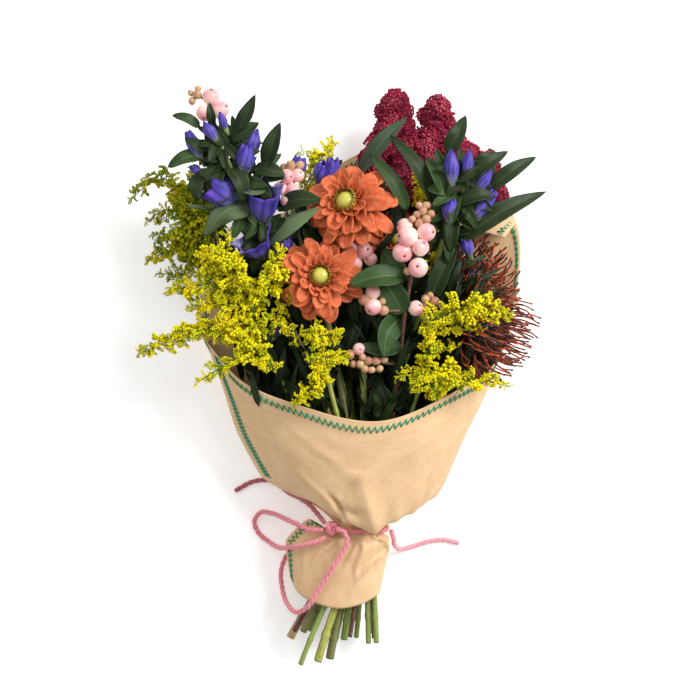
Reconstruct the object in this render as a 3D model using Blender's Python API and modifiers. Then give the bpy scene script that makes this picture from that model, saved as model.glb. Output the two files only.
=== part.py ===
"""A mixed flower bouquet in a kraft paper wrap, tied with twine and laid down on its back.

The stems run along Y, with the cut ends at -Y and the flowers at +Y. The paper's back lies on
the ground plane. Every length in this file is in millimetres until it is multiplied by MM.
"""
import math

import bmesh
import bpy
from mathutils import Vector

MM = 0.001
PAPER = 1.0  # thickness of the sheet
TWINE = 4.5  # diameter of the twine

UP = Vector((0, 0, 1))


def clear_scene():
    for old in list(bpy.data.objects):
        bpy.data.objects.remove(old, do_unlink=True)


def new_collection(name):
    made = bpy.data.collections.new(name)
    bpy.context.scene.collection.children.link(made)
    return made


def material(name, colour, roughness=0.7):
    made = bpy.data.materials.new(name)
    made.use_nodes = True
    shader = made.node_tree.nodes["Principled BSDF"]
    shader.inputs["Base Color"].default_value = (*colour, 1)
    shader.inputs["Roughness"].default_value = roughness
    shader.inputs["Metallic"].default_value = 0
    made.diffuse_color = (*colour, 1)
    return made


clear_scene()
PARTS = new_collection("flower_bouquet")
CUTTERS = new_collection("cutters")

PAPER_BROWN = (0.66, 0.47, 0.26)
TWINE_PINK = (0.72, 0.2, 0.24)
STEM_GREEN = (0.22, 0.34, 0.08)
STEM_TAN = (0.45, 0.33, 0.18)
STEM_WOODY = (0.2, 0.1, 0.06)
LEAF_GREEN = (0.05, 0.12, 0.03)
LEAF_GREY = (0.14, 0.2, 0.1)
DAHLIA_CORAL = (0.6, 0.1, 0.04)
GENTIAN_BLUE = (0.1, 0.08, 0.45)
GOLDENROD_YELLOW = (0.7, 0.5, 0.02)
AMARANTH_RED = (0.27, 0.02, 0.06)
PINCUSHION_DARK = (0.12, 0.01, 0.015)
BERRY_PINK = (0.85, 0.5, 0.46)


def slope_at(points, i):
    """The direction of the smooth curve at point i, leaning to its shorter neighbour stretch."""
    stretches = []
    if i > 0:
        stretches.append(points[i] - points[i - 1])
    if i + 1 < len(points):
        stretches.append(points[i + 1] - points[i])
    if len(stretches) == 1:
        return stretches[0] / max(stretches[0].length, 1e-6)
    before, after = (max(s.length, 1e-6) for s in stretches)
    lean = stretches[0] * after / before + stretches[1] * before / after
    return lean / (before + after)


def smooth_point(points, t):
    """The point at t, from 0 to 1, on the smooth curve that passes through every given point."""
    last = len(points) - 1
    place = min(max(t, 0.0), 1.0) * last
    i = min(int(place), last - 1)
    f = place - i
    near = [Vector(p) for p in points[max(i - 1, 0):i + 3]]
    k = min(i, 1)
    reach = (near[k + 1] - near[k]).length
    start = near[k] * (2 * f ** 3 - 3 * f * f + 1) + near[k + 1] * (3 * f * f - 2 * f ** 3)
    lean = slope_at(near, k) * (f ** 3 - 2 * f * f + f) + slope_at(near, k + 1) * (f ** 3 - f * f)
    return start + lean * reach


def even_points(points, count):
    """count points at equal steps along the smooth curve through the given points."""
    fine = [smooth_point(points, k / 200) for k in range(201)]
    travelled = [0.0]
    for a, b in zip(fine, fine[1:]):
        travelled.append(travelled[-1] + (b - a).length)
    found = []
    i = 0
    for k in range(count):
        goal = travelled[-1] * k / (count - 1)
        while i < 199 and travelled[i + 1] < goal:
            i += 1
        step = travelled[i + 1] - travelled[i]
        found.append(fine[i].lerp(fine[i + 1], (goal - travelled[i]) / step))
    return found


def finish(name, mesh, look, collection=None):
    made = bpy.data.objects.new(name, mesh)
    (collection or PARTS).objects.link(made)
    if look:
        mesh.materials.append(look)
    mesh.shade_smooth()
    return made


def tube(name, points, radii, look):
    """A round rod along the points, with one radius for each point."""
    curve = bpy.data.curves.new(name, "CURVE")
    curve.dimensions = "3D"
    curve.bevel_depth = MM
    curve.bevel_resolution = 2
    curve.use_fill_caps = True
    spline = curve.splines.new("POLY")
    spline.points.add(len(points) - 1)
    for knot, place, radius in zip(spline.points, points, radii):
        knot.co = (*(Vector(place) * MM), 1)
        knot.radius = radius
    made = bpy.data.objects.new(name, curve)
    PARTS.objects.link(made)
    curve.materials.append(look)
    return made


def spindle(path, width, thick, segments=8, rings=7, fullness=0.7, facing=UP):
    """A closed bean along the path: a globe whose poles become the path's two ends.

    width is measured across the path, thick along facing. A low fullness gives blunt ends.
    """
    bm = bmesh.new()
    bmesh.ops.create_uvsphere(bm, u_segments=segments, v_segments=rings, radius=1)
    for v in bm.verts:
        t = math.acos(max(-1.0, min(1.0, -v.co.z))) / math.pi
        place = smooth_point(path, t)
        along = smooth_point(path, t + 0.02) - smooth_point(path, t - 0.02)
        along.normalize()
        side = along.cross(facing).normalized()
        normal = along.cross(side)
        swell = math.sin(math.pi * t) ** fullness if 0 < t < 1 else 0.0
        flat = Vector((v.co.x, v.co.y))
        if flat.length > 1e-6:
            flat.normalize()
        across = side * (flat.x * width / 2 * swell)
        v.co = (place + across + normal * (flat.y * thick / 2 * swell)) * MM
    mesh = bpy.data.meshes.new("spindle")
    bm.to_mesh(mesh)
    bm.free()
    return mesh


def ball(centre, radius, segments=8, rings=6, squash=1.0):
    bm = bmesh.new()
    bmesh.ops.create_uvsphere(bm, u_segments=segments, v_segments=rings, radius=radius * MM)
    for v in bm.verts:
        v.co.z *= squash
        v.co += Vector(centre) * MM
    mesh = bpy.data.meshes.new("ball")
    bm.to_mesh(mesh)
    bm.free()
    return mesh


def union(name, meshes, look):
    """One closed body from several meshes, each of which must meet the ones before it."""
    made = finish(name, meshes[0], look)
    for number, mesh in enumerate(meshes[1:], 1):
        operand = finish(f"{name}_piece_{number}", mesh, None, CUTTERS)
        operand.hide_render = True
        operand.display_type = "WIRE"
        join = made.modifiers.new(f"join_{number}", "BOOLEAN")
        join.operation = "UNION"
        join.object = operand
    return made


# ---------------------------------------------------------------- the paper wrap
# One sheet rolled round the stems. Each row is a ring of twelve places on it, from its free
# left edge across the front, round the right side and the back, to its inner edge under the
# front. The rows go from the hem below the tie to the mouth round the flowers.
WRAP_ROWS = [
    # hem
    [(-41, -180, 28), (-33, -192, 44), (-14, -201, 54), (4, -204, 57),
     (24, -200, 55), (37, -194, 47), (41, -190, 30), (32, -194, 7),
     (4, -200, 1), (-22, -196, 4), (-36, -186, 16), (-35, -186, 34)],
    # skirt
    [(-45, -146, 30), (-30, -152, 46), (-6, -160, 58), (10, -165, 62),
     (28, -163, 60), (44, -158, 49), (47, -157, 32), (36, -160, 8),
     (6, -164, 2), (-22, -160, 6), (-38, -152, 20), (-31, -151, 38)],
    # just below the tie
    [(-24, -127, 34), (-14, -135, 50), (3, -145, 61), (20, -149, 65),
     (38, -146, 61), (46, -143, 51), (47, -142, 38), (40, -144, 25),
     (20, -147, 18), (1, -144, 22), (-12, -138, 34), (-7, -138, 44)],
    # lower edge of the tie
    [(-0.3, -139, 41), (0.8, -139, 51), (7, -140, 59), (22, -140, 62.5),
     (37.5, -140, 59), (42.3, -139, 51), (42.5, -138, 40), (37.5, -139, 31),
     (22, -140, 27.5), (7, -139, 30.5), (2.4, -138, 39), (4, -138, 48.5)],
    # upper edge of the tie
    [(-0.3, -128, 41), (0.8, -128, 51), (7, -128, 59), (22, -128, 62.5),
     (37.5, -128, 59), (42.3, -128, 51), (42.5, -128, 40), (37.5, -128, 31),
     (22, -128, 27.5), (7, -128, 30.5), (2.4, -128, 39), (4, -128, 48.5)],
    # shoulder
    [(-66, -88, 40), (-42, -92, 62), (1, -116, 77), (25, -130, 80),
     (57, -122, 77), (84, -107, 60), (95, -99, 40), (66, -112, 12),
     (22, -112, 5), (-18, -104, 10), (-45, -93, 28), (-34, -96, 48)],
    # belly
    [(-88, -46, 48), (-60, -54, 74), (-20, -70, 88), (26, -82, 93),
     (75, -74, 89), (106, -62, 68), (116, -50, 42), (85, -50, 10),
     (20, -50, 1.5), (-40, -50, 5), (-78, -46, 20), (-72, -44, 46)],
    # chest
    [(-101, -4, 54), (-72, -24, 80), (-27, -42, 94), (33, -56, 100),
     (92, -38, 94), (124, -26, 70), (140, 14, 38), (130, 50, 8),
     (30, 60, 1), (-60, 20, 4), (-104, 0, 18), (-92, -6, 46)],
    # mouth
    [(-113, 32, 58), (-81, -1, 85), (-32, -21, 99), (39, -35, 104),
     (104, -10, 94), (138, 10, 62), (162, 66, 30), (166, 143, 14),
     (44, 213, 1.5), (-72, 128, 3), (-124, 52, 14), (-104, 16, 42)],
]
WRAP_ACROSS = 36
WRAP_ALONG = 16


def wrap_point(u, v):
    """A place on the sheet: u runs round it, v from the hem to the mouth, both 0 to 1."""
    return smooth_point([smooth_point(row, u) for row in WRAP_ROWS], v)


def make_wrap():
    bm = bmesh.new()
    bmesh.ops.create_grid(bm, x_segments=WRAP_ACROSS, y_segments=WRAP_ALONG, size=1)
    for vert in bm.verts:
        place = wrap_point((vert.co.x + 1) / 2, (vert.co.y + 1) / 2)
        place.z = max(place.z, PAPER / 2)
        vert.co = place * MM
    mesh = bpy.data.meshes.new("wrap_paper")
    bm.to_mesh(mesh)
    bm.free()
    made = finish("wrap_paper", mesh, material("kraft_paper", PAPER_BROWN, 0.85))
    wall = made.modifiers.new("wall", "SOLIDIFY")
    wall.thickness = PAPER * MM
    wall.offset = 0
    return made


# ---------------------------------------------------------------- stems
# Each stem is a smooth line through its cut end, its place in the tie and its top, with a radius
# at each. The order from left to right and from low to high is the same all along, so none cross.
STEMS = {
    "stem_goldenrod_left": ([(-41, -236, 20), (10.2, -134, 35), (-108, 84, 44)], (4.0, 2.6, 2.0), "tan"),
    "stem_snowberry_tip": ([(-37, -229, 29), (8.6, -134, 41.5), (-107, 228, 62)], (2.4, 2.2, 1.6), "woody"),
    "stem_gentian_left": ([(-29, -228, 36), (9, -134, 48.5), (-53, 92, 79)], (3.4, 2.8, 2.4), "olive"),
    "stem_goldenrod_front_left": ([(-31, -256, 45), (9.8, -134, 54.8), (-58, 22, 80)], (2.4, 2.3, 2.0), "green"),
    "stem_goldenrod_back": ([(-24, -231, 13), (16.5, -134, 33.5), (-32, 158, 56)], (2.4, 2.3, 1.8), "green"),
    "stem_snowberry_back": ([(-21, -231, 22), (15.6, -134, 41), (-37, 152, 90)], (2.4, 2.2, 1.7), "green"),
    "stem_dahlia_front": ([(-5, -252, 37), (16, -134, 48.3), (-11, 85, 91)], (4.0, 3.3, 3.0), "olive"),
    "stem_goldenrod_front": ([(-15.5, -253, 46), (16.8, -134, 55.6), (-8, 14, 98)], (3.9, 2.8, 2.2), "spotted"),
    "stem_gentian_back": ([(-2, -236, 13), (22, -134, 35.5), (-4, 176, 62)], (2.8, 2.6, 2.0), "olive"),
    "stem_dahlia_low": ([(0, -235, 22), (22, -134, 43.5), (52, 122, 51)], (3.2, 3.1, 2.8), "green"),
    "stem_dahlia_back": ([(8, -235, 36), (22.6, -134, 52), (20, 138, 86)], (3.4, 3.3, 3.0), "green"),
    "stem_amaranth": ([(12, -231, 11), (29.4, -134, 33.5), (78, 126, 30)], (3.6, 3.4, 3.4), "red"),
    "stem_goldenrod_middle": ([(19, -236, 20), (29.4, -134, 41), (80, 74, 62)], (2.4, 2.3, 1.9), "green"),
    "stem_gentian_right": ([(30, -239, 33), (29.2, -134, 48.5), (96, 130, 98)], (2.6, 2.6, 2.2), "green"),
    "stem_snowberry_top": (
        [(13.3, -231, 46), (29, -134, 56), (55, -4, 86), (60, 52, 104), (66, 92, 114)],
        (2.0, 2.2, 2.2, 2.0, 1.8), "woody"),
    "stem_pincushion_back": ([(31, -233, 14), (36.6, -134, 37.5), (104, 66, 38)], (2.6, 2.7, 3.0), "woody"),
    "stem_pincushion_front": ([(35, -236, 24), (37, -134, 45), (112, 18, 64)], (2.0, 2.6, 3.2), "woody"),
    "stem_goldenrod_right": ([(37, -238, 36), (35.8, -134, 53.3), (75, -4, 86)], (2.6, 2.4, 2.0), "green"),
}
STEM_STEPS = 4  # steps between two of the places that a stem goes through
STEM_COLOURS = {
    "tan": STEM_TAN, "woody": STEM_WOODY, "green": STEM_GREEN, "olive": (0.13, 0.14, 0.05),
    "spotted": (0.3, 0.34, 0.06), "red": (0.3, 0.06, 0.06),
}


def make_stem(name, through, radii, kind):
    count = STEM_STEPS * (len(through) - 1)
    points = [smooth_point(through, k / count) for k in range(count + 1)]
    girth = [Vector((r, 0, 0)) for r in radii]
    radius = [smooth_point(girth, k / count).x for k in range(count + 1)]
    return tube(name, points, radius, material(name, STEM_COLOURS[kind], 0.6))


# ---------------------------------------------------------------- dahlias
def dahlia(name, centre, facing, radius, depth):
    """A double bloom: a disc of petal tips, domed in front and drawn in to the stem behind."""
    petals = 12
    bm = bmesh.new()
    bmesh.ops.create_uvsphere(bm, u_segments=2 * petals, v_segments=9, radius=1)
    turn = Vector(facing).to_track_quat("Z", "Y")
    for v in bm.verts:
        angle = math.atan2(v.co.y, v.co.x)
        out = math.hypot(v.co.x, v.co.y)
        scallop = 1 + 0.05 * math.cos(petals * angle) * out
        reach = radius * out ** (0.8 if v.co.z > 0 else 1.3) * scallop
        height = v.co.z * (0.35 if v.co.z > 0 else 0.65) * depth
        shaped = Vector((reach * math.cos(angle), reach * math.sin(angle), height))
        v.co = (turn @ shaped + Vector(centre)) * MM
    mesh = bpy.data.meshes.new(name)
    bm.to_mesh(mesh)
    bm.free()
    return finish(name, mesh, material(name, DAHLIA_CORAL, 0.6))


# ---------------------------------------------------------------- pincushion heads
def pincushion(name, centre, core, reach, facing, styles, spread):
    """A round head with stiff styles: each one a thin spike from the core outwards."""
    pieces = [ball(centre, core, 10, 7)]
    turn = Vector(facing).to_track_quat("Z", "Y")
    for k in range(styles):
        lean = spread * math.sqrt((k + 0.5) / styles)
        round_axis = k * math.radians(137.5)
        away = Vector((math.sin(lean) * math.cos(round_axis), math.sin(lean) * math.sin(round_axis),
                       math.cos(lean)))
        away = turn @ away
        start = Vector(centre) + away * core * 0.4
        end = Vector(centre) + away * reach
        pieces.append(spindle([start, end], 5, 5, 5, 3, 0.6, Vector((0.31, 0.24, 0.92))))
    return union(name, pieces, material(name, PINCUSHION_DARK, 0.4))


# ---------------------------------------------------------------- flower heads as bean shapes
def bunch(name, beans, colour):
    """One body of beans, each given as (path, width) or (path, width, thickness).

    The first is the spine that the others grow from, so it keeps its width to its ends.
    """
    pieces = []
    for path, width, *rest in beans:
        thick = rest[0] if rest else width
        segments = 8 if width >= 12 and thick >= 8 else 6
        fullness = 0.6 if pieces else 0.3
        pieces.append(spindle(path, width, thick, segments, 5, fullness))
    return union(name, pieces, material(name, colour, 0.7))


def berries(name, twig, places, colour=BERRY_PINK):
    """Berries on a short branched twig, each given as its centre and radius."""
    pieces = [spindle(twig, 3.6, 3.6, 5, 5, 0.2, Vector((0.31, 0.24, 0.92)))]
    for centre, radius in places:
        pieces.append(ball(centre, radius, 8, 5))
    return union(name, pieces, material(name, colour, 0.5))


def leaf(name, path, width, colour=LEAF_GREEN):
    mesh = spindle(path, width, 2.4, 6, 8, 0.8)
    return finish(name, mesh, material(name, colour, 0.5))


# ---------------------------------------------------------------- twine
KNOT_CENTRE = (-2.5, -132, 62.5)
KNOT_RADIUS = 5.5
TWINE_ROUTES = {
    "twine_loop_left": [
        (-10.5, -133, 64), (-20, -134, 60), (-31, -131, 51), (-46, -126, 36), (-58, -123, 20),
        (-70, -124, 8), (-75, -132, 3.5), (-71, -143, 3), (-62, -150, 7), (-54, -153, 22),
        (-46, -152, 40), (-34, -149, 54), (-20, -145, 62), (-8, -140, 64)],
    "twine_loop_lower": [
        (1.5, -131.5, 70.5), (8, -134, 73), (11, -141, 73), (7, -152, 70.5), (0, -163, 69),
        (-8, -176, 65), (-16, -189, 62), (-25, -203, 57), (-35, -209, 46), (-44, -203, 32),
        (-49, -190, 18), (-50, -176, 9), (-45, -163, 4), (-36, -152, 5), (-24, -143, 11),
        (-9, -138, 18), (0, -136, 23)],
    "twine_end_left": [
        (-9, -127, 65), (-15, -120, 61), (-23, -112, 53), (-32, -107, 42), (-41, -104, 30),
        (-50, -99, 15), (-61, -94, 5), (-75, -95, 2.6), (-93, -104, 2.4)],
    "twine_end_right": [
        (50.5, -137, 40), (53, -145, 30), (54, -152, 18), (60, -157, 7), (71, -155, 3),
        (84, -151, 2.5), (100, -149, 2.4), (114, -152, 2.4)],
}
TWINE_STEP = 2.8 * TWINE


def route_length(points):
    fine = [smooth_point(points, k / 300) for k in range(301)]
    return sum((b - a).length for a, b in zip(fine, fine[1:]))


def make_twine(look):
    for name, route in TWINE_ROUTES.items():
        count = round(route_length(route) / TWINE_STEP) + 1
        points = even_points(route, count)
        tube(name, points, [TWINE / 2] * count, look)


COLLAR_CENTRE = (21.3, -133, 45)
COLLAR_HALF = (24.9, 21.4)
COLLAR_STEPS = 22


def make_collar(look):
    """The turn of twine round the paper, from one side of the knot back to its other side."""
    points = []
    for k in range(COLLAR_STEPS + 1):
        turn = k / COLLAR_STEPS
        angle = math.radians(124 - 332 * turn)
        flat = (math.cos(angle) ** 4 + math.sin(angle) ** 4) ** -0.25
        x = COLLAR_CENTRE[0] + COLLAR_HALF[0] * flat * math.cos(angle)
        z = COLLAR_CENTRE[2] + COLLAR_HALF[1] * flat * math.sin(angle)
        points.append((x, COLLAR_CENTRE[1] + 2 * turn - 1, z))
    tube("twine_collar", points, [TWINE / 2] * len(points), look)


# ---------------------------------------------------------------- the bouquet
make_wrap()

for stem_name, (through, radii, kind) in STEMS.items():
    make_stem(stem_name, through, radii, kind)

dahlia("dahlia_back", (14, 152, 116), (-0.4, 0.45, 0.8), 38, 36)
dahlia("dahlia_front", (-11, 86, 116), (0.02, -0.05, 1), 34.5, 32)
dahlia("dahlia_low", (53, 124, 74), (0.3, 0.1, 0.95), 28, 28)

pincushion("pincushion_front", (132, 42, 76), 20, 44, (0.62, 0.25, 0.62), 14, math.radians(84))
pincushion("pincushion_back", (122, 93, 42), 17, 42, (0.6, 0.75, 0.3), 11, math.radians(66))

bunch("amaranth_plume", [
    ([(24, 186, 40), (84, 190, 34), (148, 174, 40)], 62, 38),
    ([(56, 190, 38), (52, 225, 44), (54, 260, 48)], 28, 26),
    ([(84, 200, 36), (88, 226, 42), (92, 256, 46)], 26, 24),
], AMARANTH_RED)

bunch("goldenrod_left", [
    ([(-111, 90, 50), (-124, 130, 50), (-134, 172, 50)], 46, 24),
    ([(-134, 152, 50), (-150, 184, 54), (-185, 160, 46)], 13),
    ([(-120, 118, 48), (-146, 116, 48), (-170, 107, 42)], 12),
    ([(-114, 98, 50), (-138, 94, 46), (-160, 95, 40)], 10),
], GOLDENROD_YELLOW)
bunch("goldenrod_front_left", [
    ([(-60, 27, 87), (-68, 50, 100), (-70, 84, 108)], 17),
    ([(-66, 42, 94), (-112, 45, 96), (-172, 24, 82)], 16, 14),
    ([(-70, 68, 104), (-112, 82, 102), (-146, 78, 90)], 16, 14),
    ([(-66, 78, 108), (-90, 96, 112), (-112, 110, 108)], 24, 20),
    ([(-68, 70, 106), (-56, 90, 110), (-48, 112, 112)], 17, 15),
    ([(-52, 8, 106), (-68, 26, 106), (-88, 42, 104)], 24, 20),
    ([(-70, 22, 106), (-92, 14, 110), (-118, -2, 110)], 12, 11),
], GOLDENROD_YELLOW)
bunch("goldenrod_front", [
    ([(-8, 15, 106), (-12, 30, 113), (-14, 49, 113)], 13),
    ([(-8, 28, 109), (-16, -2, 115), (-34, -20, 114)], 15, 13),
    ([(-30, 42, 115), (-14, 38, 116), (4, 40, 115)], 16, 14),
    ([(-24, 16, 115), (-8, 20, 116), (10, 20, 114)], 16, 14),
], GOLDENROD_YELLOW)
bunch("goldenrod_right", [
    ([(76, 0, 93), (79, 14, 104), (80, 56, 115)], 12),
    ([(76, 46, 115), (112, 63, 123), (150, 57, 119)], 19, 15),
    ([(64, -8, 105), (84, -2, 107), (108, 4, 109)], 25, 21),
    ([(92, 0, 112), (118, 2, 114), (150, -5, 108)], 14, 13),
], GOLDENROD_YELLOW)
bunch("goldenrod_middle", [
    ([(74, 72, 71), (86, 100, 76), (97, 126, 76)], 15, 12),
    ([(90, 108, 76), (86, 136, 76), (72, 178, 76)], 13, 11),
], GOLDENROD_YELLOW)
bunch("goldenrod_back", [
    ([(-31, 163, 60), (-18, 187, 58), (-3, 212, 54)], 15, 13),
], GOLDENROD_YELLOW)

bunch("gentian_left", [
    ([(-56, 99, 84), (-78, 158, 106), (-96, 206, 118)], 8),
    ([(-90, 199, 116), (-118, 214, 126), (-138, 226, 122)], 13, 3.4),
    ([(-94, 200, 116), (-84, 224, 126), (-67, 243, 122)], 13, 3.4),
    ([(-92, 196, 114), (-78, 212, 122), (-64, 220, 118)], 12, 3.4),
    ([(-90, 190, 113), (-118, 190, 120), (-141, 181, 112)], 14, 3.4),
    ([(-80, 166, 108), (-58, 184, 118), (-44, 218, 112)], 16, 3.4),
    ([(-78, 160, 106), (-60, 172, 118), (-42, 176, 112)], 16, 3.4),
    ([(-80, 164, 106), (-100, 168, 112), (-117, 154, 104)], 13, 3.4),
    ([(-70, 140, 100), (-92, 146, 110), (-112, 124, 100)], 16, 3.4),
    ([(-67, 114, 89), (-42, 134, 98), (-24, 144, 92)], 22, 3.4),
    ([(-89, 188, 113), (-106, 193, 118), (-122, 204, 112)], 13),
    ([(-94, 200, 116), (-92, 212, 122), (-90, 228, 120)], 12),
    ([(-82, 168, 108), (-74, 186, 112), (-66, 202, 110)], 13),
    ([(-76, 158, 106), (-92, 158, 114), (-108, 164, 110)], 15),
    ([(-66, 136, 98), (-62, 148, 110), (-58, 160, 116)], 18),
], GENTIAN_BLUE)
bunch("gentian_right", [
    ([(96, 134, 101), (104, 160, 107), (112, 184, 112)], 6),
    ([(100, 168, 108), (104, 198, 116), (113, 227, 110)], 12, 3.4),
    ([(112, 180, 112), (126, 190, 118), (138, 197, 110)], 10, 3.4),
    ([(110, 174, 110), (132, 180, 118), (150, 197, 110)], 10, 3.4),
    ([(108, 168, 110), (142, 178, 118), (174, 192, 108)], 12, 3.4),
    ([(100, 140, 102), (144, 148, 112), (185, 163, 94)], 13, 3.4),
    ([(100, 144, 104), (114, 134, 112), (122, 126, 104)], 13, 3.4),
    ([(102, 146, 104), (66, 178, 104), (48, 212, 96)], 14, 3.4),
    ([(100, 152, 105), (88, 172, 112), (78, 192, 108)], 12, 3.4),
    ([(104, 162, 108), (100, 184, 116), (100, 198, 116)], 12),
    ([(110, 172, 110), (114, 186, 118), (116, 198, 118)], 11),
    ([(104, 156, 106), (120, 150, 112), (138, 160, 110)], 15),
], GENTIAN_BLUE)
bunch("gentian_back", [
    ([(-9, 180, 64), (-7, 184, 70), (-4, 186, 78)], 8),
    ([(-8, 184, 70), (4, 190, 78), (12, 200, 76)], 14),
    ([(-8, 184, 70), (-18, 190, 78), (-32, 196, 78)], 14),
], GENTIAN_BLUE)

berries("snowberries_tip", [(-107, 231, 65), (-110, 240, 70), (-119, 250, 71)], [
    ((-109, 249, 72), 8), ((-101, 238, 70), 8), ((-115, 235, 72), 7.5), ((-121, 250, 72), 5)])
berries("snowberries_back", [(-38, 156, 93), (-40, 166, 98), (-42, 180, 98)], [
    ((-32, 177, 100), 6), ((-41, 176, 102), 6.5), ((-46.5, 166, 100), 6.3),
    ((-36, 164, 101), 6.5), ((-40.5, 155.5, 98.5), 6.6)])
berries("snowberries_gap", [(12, 104, 90), (20, 106, 93), (30, 108, 92)], [
    ((13, 113, 95), 7.2), ((26, 112, 96), 7.5), ((17, 101, 95), 7), ((31, 105, 94), 6)])
berries("snowberries_top", [(67, 95, 117), (69, 112, 123), (76, 142, 121)], [
    ((62, 122, 128), 9.6), ((60, 132, 122), 8), ((78, 126, 126), 8), ((58, 109, 124), 9),
    ((73, 112, 128), 8), ((71, 96, 126), 8.5), ((75, 141, 122), 5.2)])
berries("snowberries_left", [(56, 60, 106), (44, 60, 108), (28, 70, 108)], [
    ((33, 76, 110), 6.5), ((25.5, 69, 111), 5.2), ((33, 63, 112), 7.3), ((42, 60, 111), 5)])
berries("snowberries_right", [(67, 61, 106), (76, 62, 106), (88, 68, 106)], [
    ((71, 64, 108), 6.5), ((80, 66, 107), 6.5), ((86, 68, 106), 4.5)])
berries("snowberries_low", [(52, 14, 94), (38, 16, 98), (18, 26, 100)], [
    ((22, 27, 102), 6), ((14, 22, 102), 6), ((36, 17, 101), 4.5), ((26, 10, 100), 4),
    ((28, 16, 100), 4.5)])

leaf("leaf_grey", [(20, 178, 88), (42, 206, 102), (63, 228, 98)], 17, LEAF_GREY)
leaf("leaf_snowberry_large", [(58, 90, 116), (36, 88, 124), (13, 82, 126)], 23)
leaf("leaf_snowberry_dark", [(56, 54, 97), (46, 42, 106), (42, 20, 108)], 22)
leaf("leaf_snowberry_behind", [(60, 84, 103), (50, 98, 104), (42, 114, 98)], 20)
leaf("leaf_right", [(84, 70, 96), (92, 92, 100), (106, 117, 96)], 17)

twine_look = material("jute_twine", TWINE_PINK, 0.9)
make_collar(twine_look)
finish("twine_knot", ball(KNOT_CENTRE, KNOT_RADIUS, 12, 8), twine_look)
make_twine(twine_look)
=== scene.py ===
"""A mixed flower bouquet in a stitched kraft paper wrap, tied with twine and laid on its back.

The stems run along Y with the cut ends at -Y. Everything is in metres: MM is one millimetre.
"""
import math
import random

import bmesh
import bpy
from mathutils import Matrix, Vector, noise


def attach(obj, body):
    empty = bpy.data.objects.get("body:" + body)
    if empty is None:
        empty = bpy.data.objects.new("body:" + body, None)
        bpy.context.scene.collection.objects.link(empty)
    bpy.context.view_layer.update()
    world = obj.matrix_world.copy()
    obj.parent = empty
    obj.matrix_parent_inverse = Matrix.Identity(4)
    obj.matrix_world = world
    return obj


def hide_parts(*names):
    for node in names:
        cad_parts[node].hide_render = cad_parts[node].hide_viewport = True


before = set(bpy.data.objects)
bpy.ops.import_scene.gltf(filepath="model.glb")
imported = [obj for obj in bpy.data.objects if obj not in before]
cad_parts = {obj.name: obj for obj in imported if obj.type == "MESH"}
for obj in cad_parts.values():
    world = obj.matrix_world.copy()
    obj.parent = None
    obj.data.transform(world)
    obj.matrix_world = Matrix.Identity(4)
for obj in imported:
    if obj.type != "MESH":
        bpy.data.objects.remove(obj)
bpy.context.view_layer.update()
scene = bpy.context.scene
scene.view_settings.view_transform = "Standard"

# ---------------------------------------------------------------- camera, lights and table
# A white table under a bright soft room. One broad lamp to the right and a little above the
# flowers throws a faint shadow to the left. The camera hangs straight over the bouquet.
MM = 0.001
CAMERA_PLACE = (0.0133, 0.0262, 1.5)
CAMERA_LENS = 83.36
ROOM_LIGHT = 0.5
TABLE_GLOW = 0.3
LAMPS = [
    # name, place, size, power
    ("window_lamp", (1.25, 0.85, 1.3), 1.0, 46.0),
    ("fill_lamp", (-0.8, 0.7, 1.5), 1.4, 8.5),
]

camera = bpy.data.objects.new("camera", bpy.data.cameras.new("camera"))
camera.location = CAMERA_PLACE
camera.data.lens = CAMERA_LENS
camera.data.sensor_width = 36
scene.collection.objects.link(camera)
scene.camera = camera

for lamp_name, lamp_place, lamp_size, lamp_power in LAMPS:
    lamp_data = bpy.data.lights.new(lamp_name, "AREA")
    lamp_data.size = lamp_size
    lamp_data.energy = lamp_power
    lamp = bpy.data.objects.new(lamp_name, lamp_data)
    lamp.location = lamp_place
    lamp.rotation_euler = (-Vector(lamp_place)).to_track_quat("-Z", "Y").to_euler()
    scene.collection.objects.link(lamp)

room = bpy.data.worlds.new("soft_room")
room.use_nodes = True
room.node_tree.nodes["Background"].inputs["Color"].default_value = (1.0, 0.99, 0.985, 1)
room.node_tree.nodes["Background"].inputs["Strength"].default_value = ROOM_LIGHT
scene.world = room


def new_material(name, roughness=0.6, **constants):
    """A material, its node tree and its shader, with the shader's own constants set."""
    made = bpy.data.materials.new(name)
    made.use_nodes = True
    shader = made.node_tree.nodes["Principled BSDF"]
    shader.inputs["Roughness"].default_value = roughness
    for socket, value in constants.items():
        shader.inputs[socket.replace("_", " ")].default_value = value
    return made, made.node_tree, shader


def add_node(tree, kind, **settings):
    """A node of the tree. A setting is a link from another node's output, an input's value,
    or a property of the node."""
    made = tree.nodes.new(kind)
    properties = {k: v for k, v in settings.items() if hasattr(made, k)}
    for name, value in properties.items():
        setattr(made, name, value)
    for name, value in settings.items():
        if name in properties:
            continue
        socket = made.inputs[int(name[1:]) if name[:1] == "_" else name.replace("_", " ")]
        if isinstance(value, bpy.types.NodeSocket):
            tree.links.new(value, socket)
        else:
            socket.default_value = value
    return made


def add_ramp(tree, factor, *stops):
    """A colour ramp, each stop given as (place, colour)."""
    made = tree.nodes.new("ShaderNodeValToRGB")
    while len(made.color_ramp.elements) < len(stops):
        made.color_ramp.elements.new(0.5)
    for element, (place, colour) in zip(made.color_ramp.elements, stops):
        element.position = place
        element.color = (*colour, 1)
    tree.links.new(factor, made.inputs["Fac"])
    return made.outputs["Color"]


def add_math(tree, operation, *values):
    """The outcome of a sum on one to three values or links."""
    given = {f"_{place}": value for place, value in enumerate(values)}
    return add_node(tree, "ShaderNodeMath", operation=operation, **given).outputs[0]


def add_noise(tree, place, scale, detail, **settings):
    """Soft noise between 0 and 1 at a place."""
    return add_node(tree, "ShaderNodeTexNoise", Vector=place, Scale=scale, Detail=detail,
                    **settings).outputs["Fac"]


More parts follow.
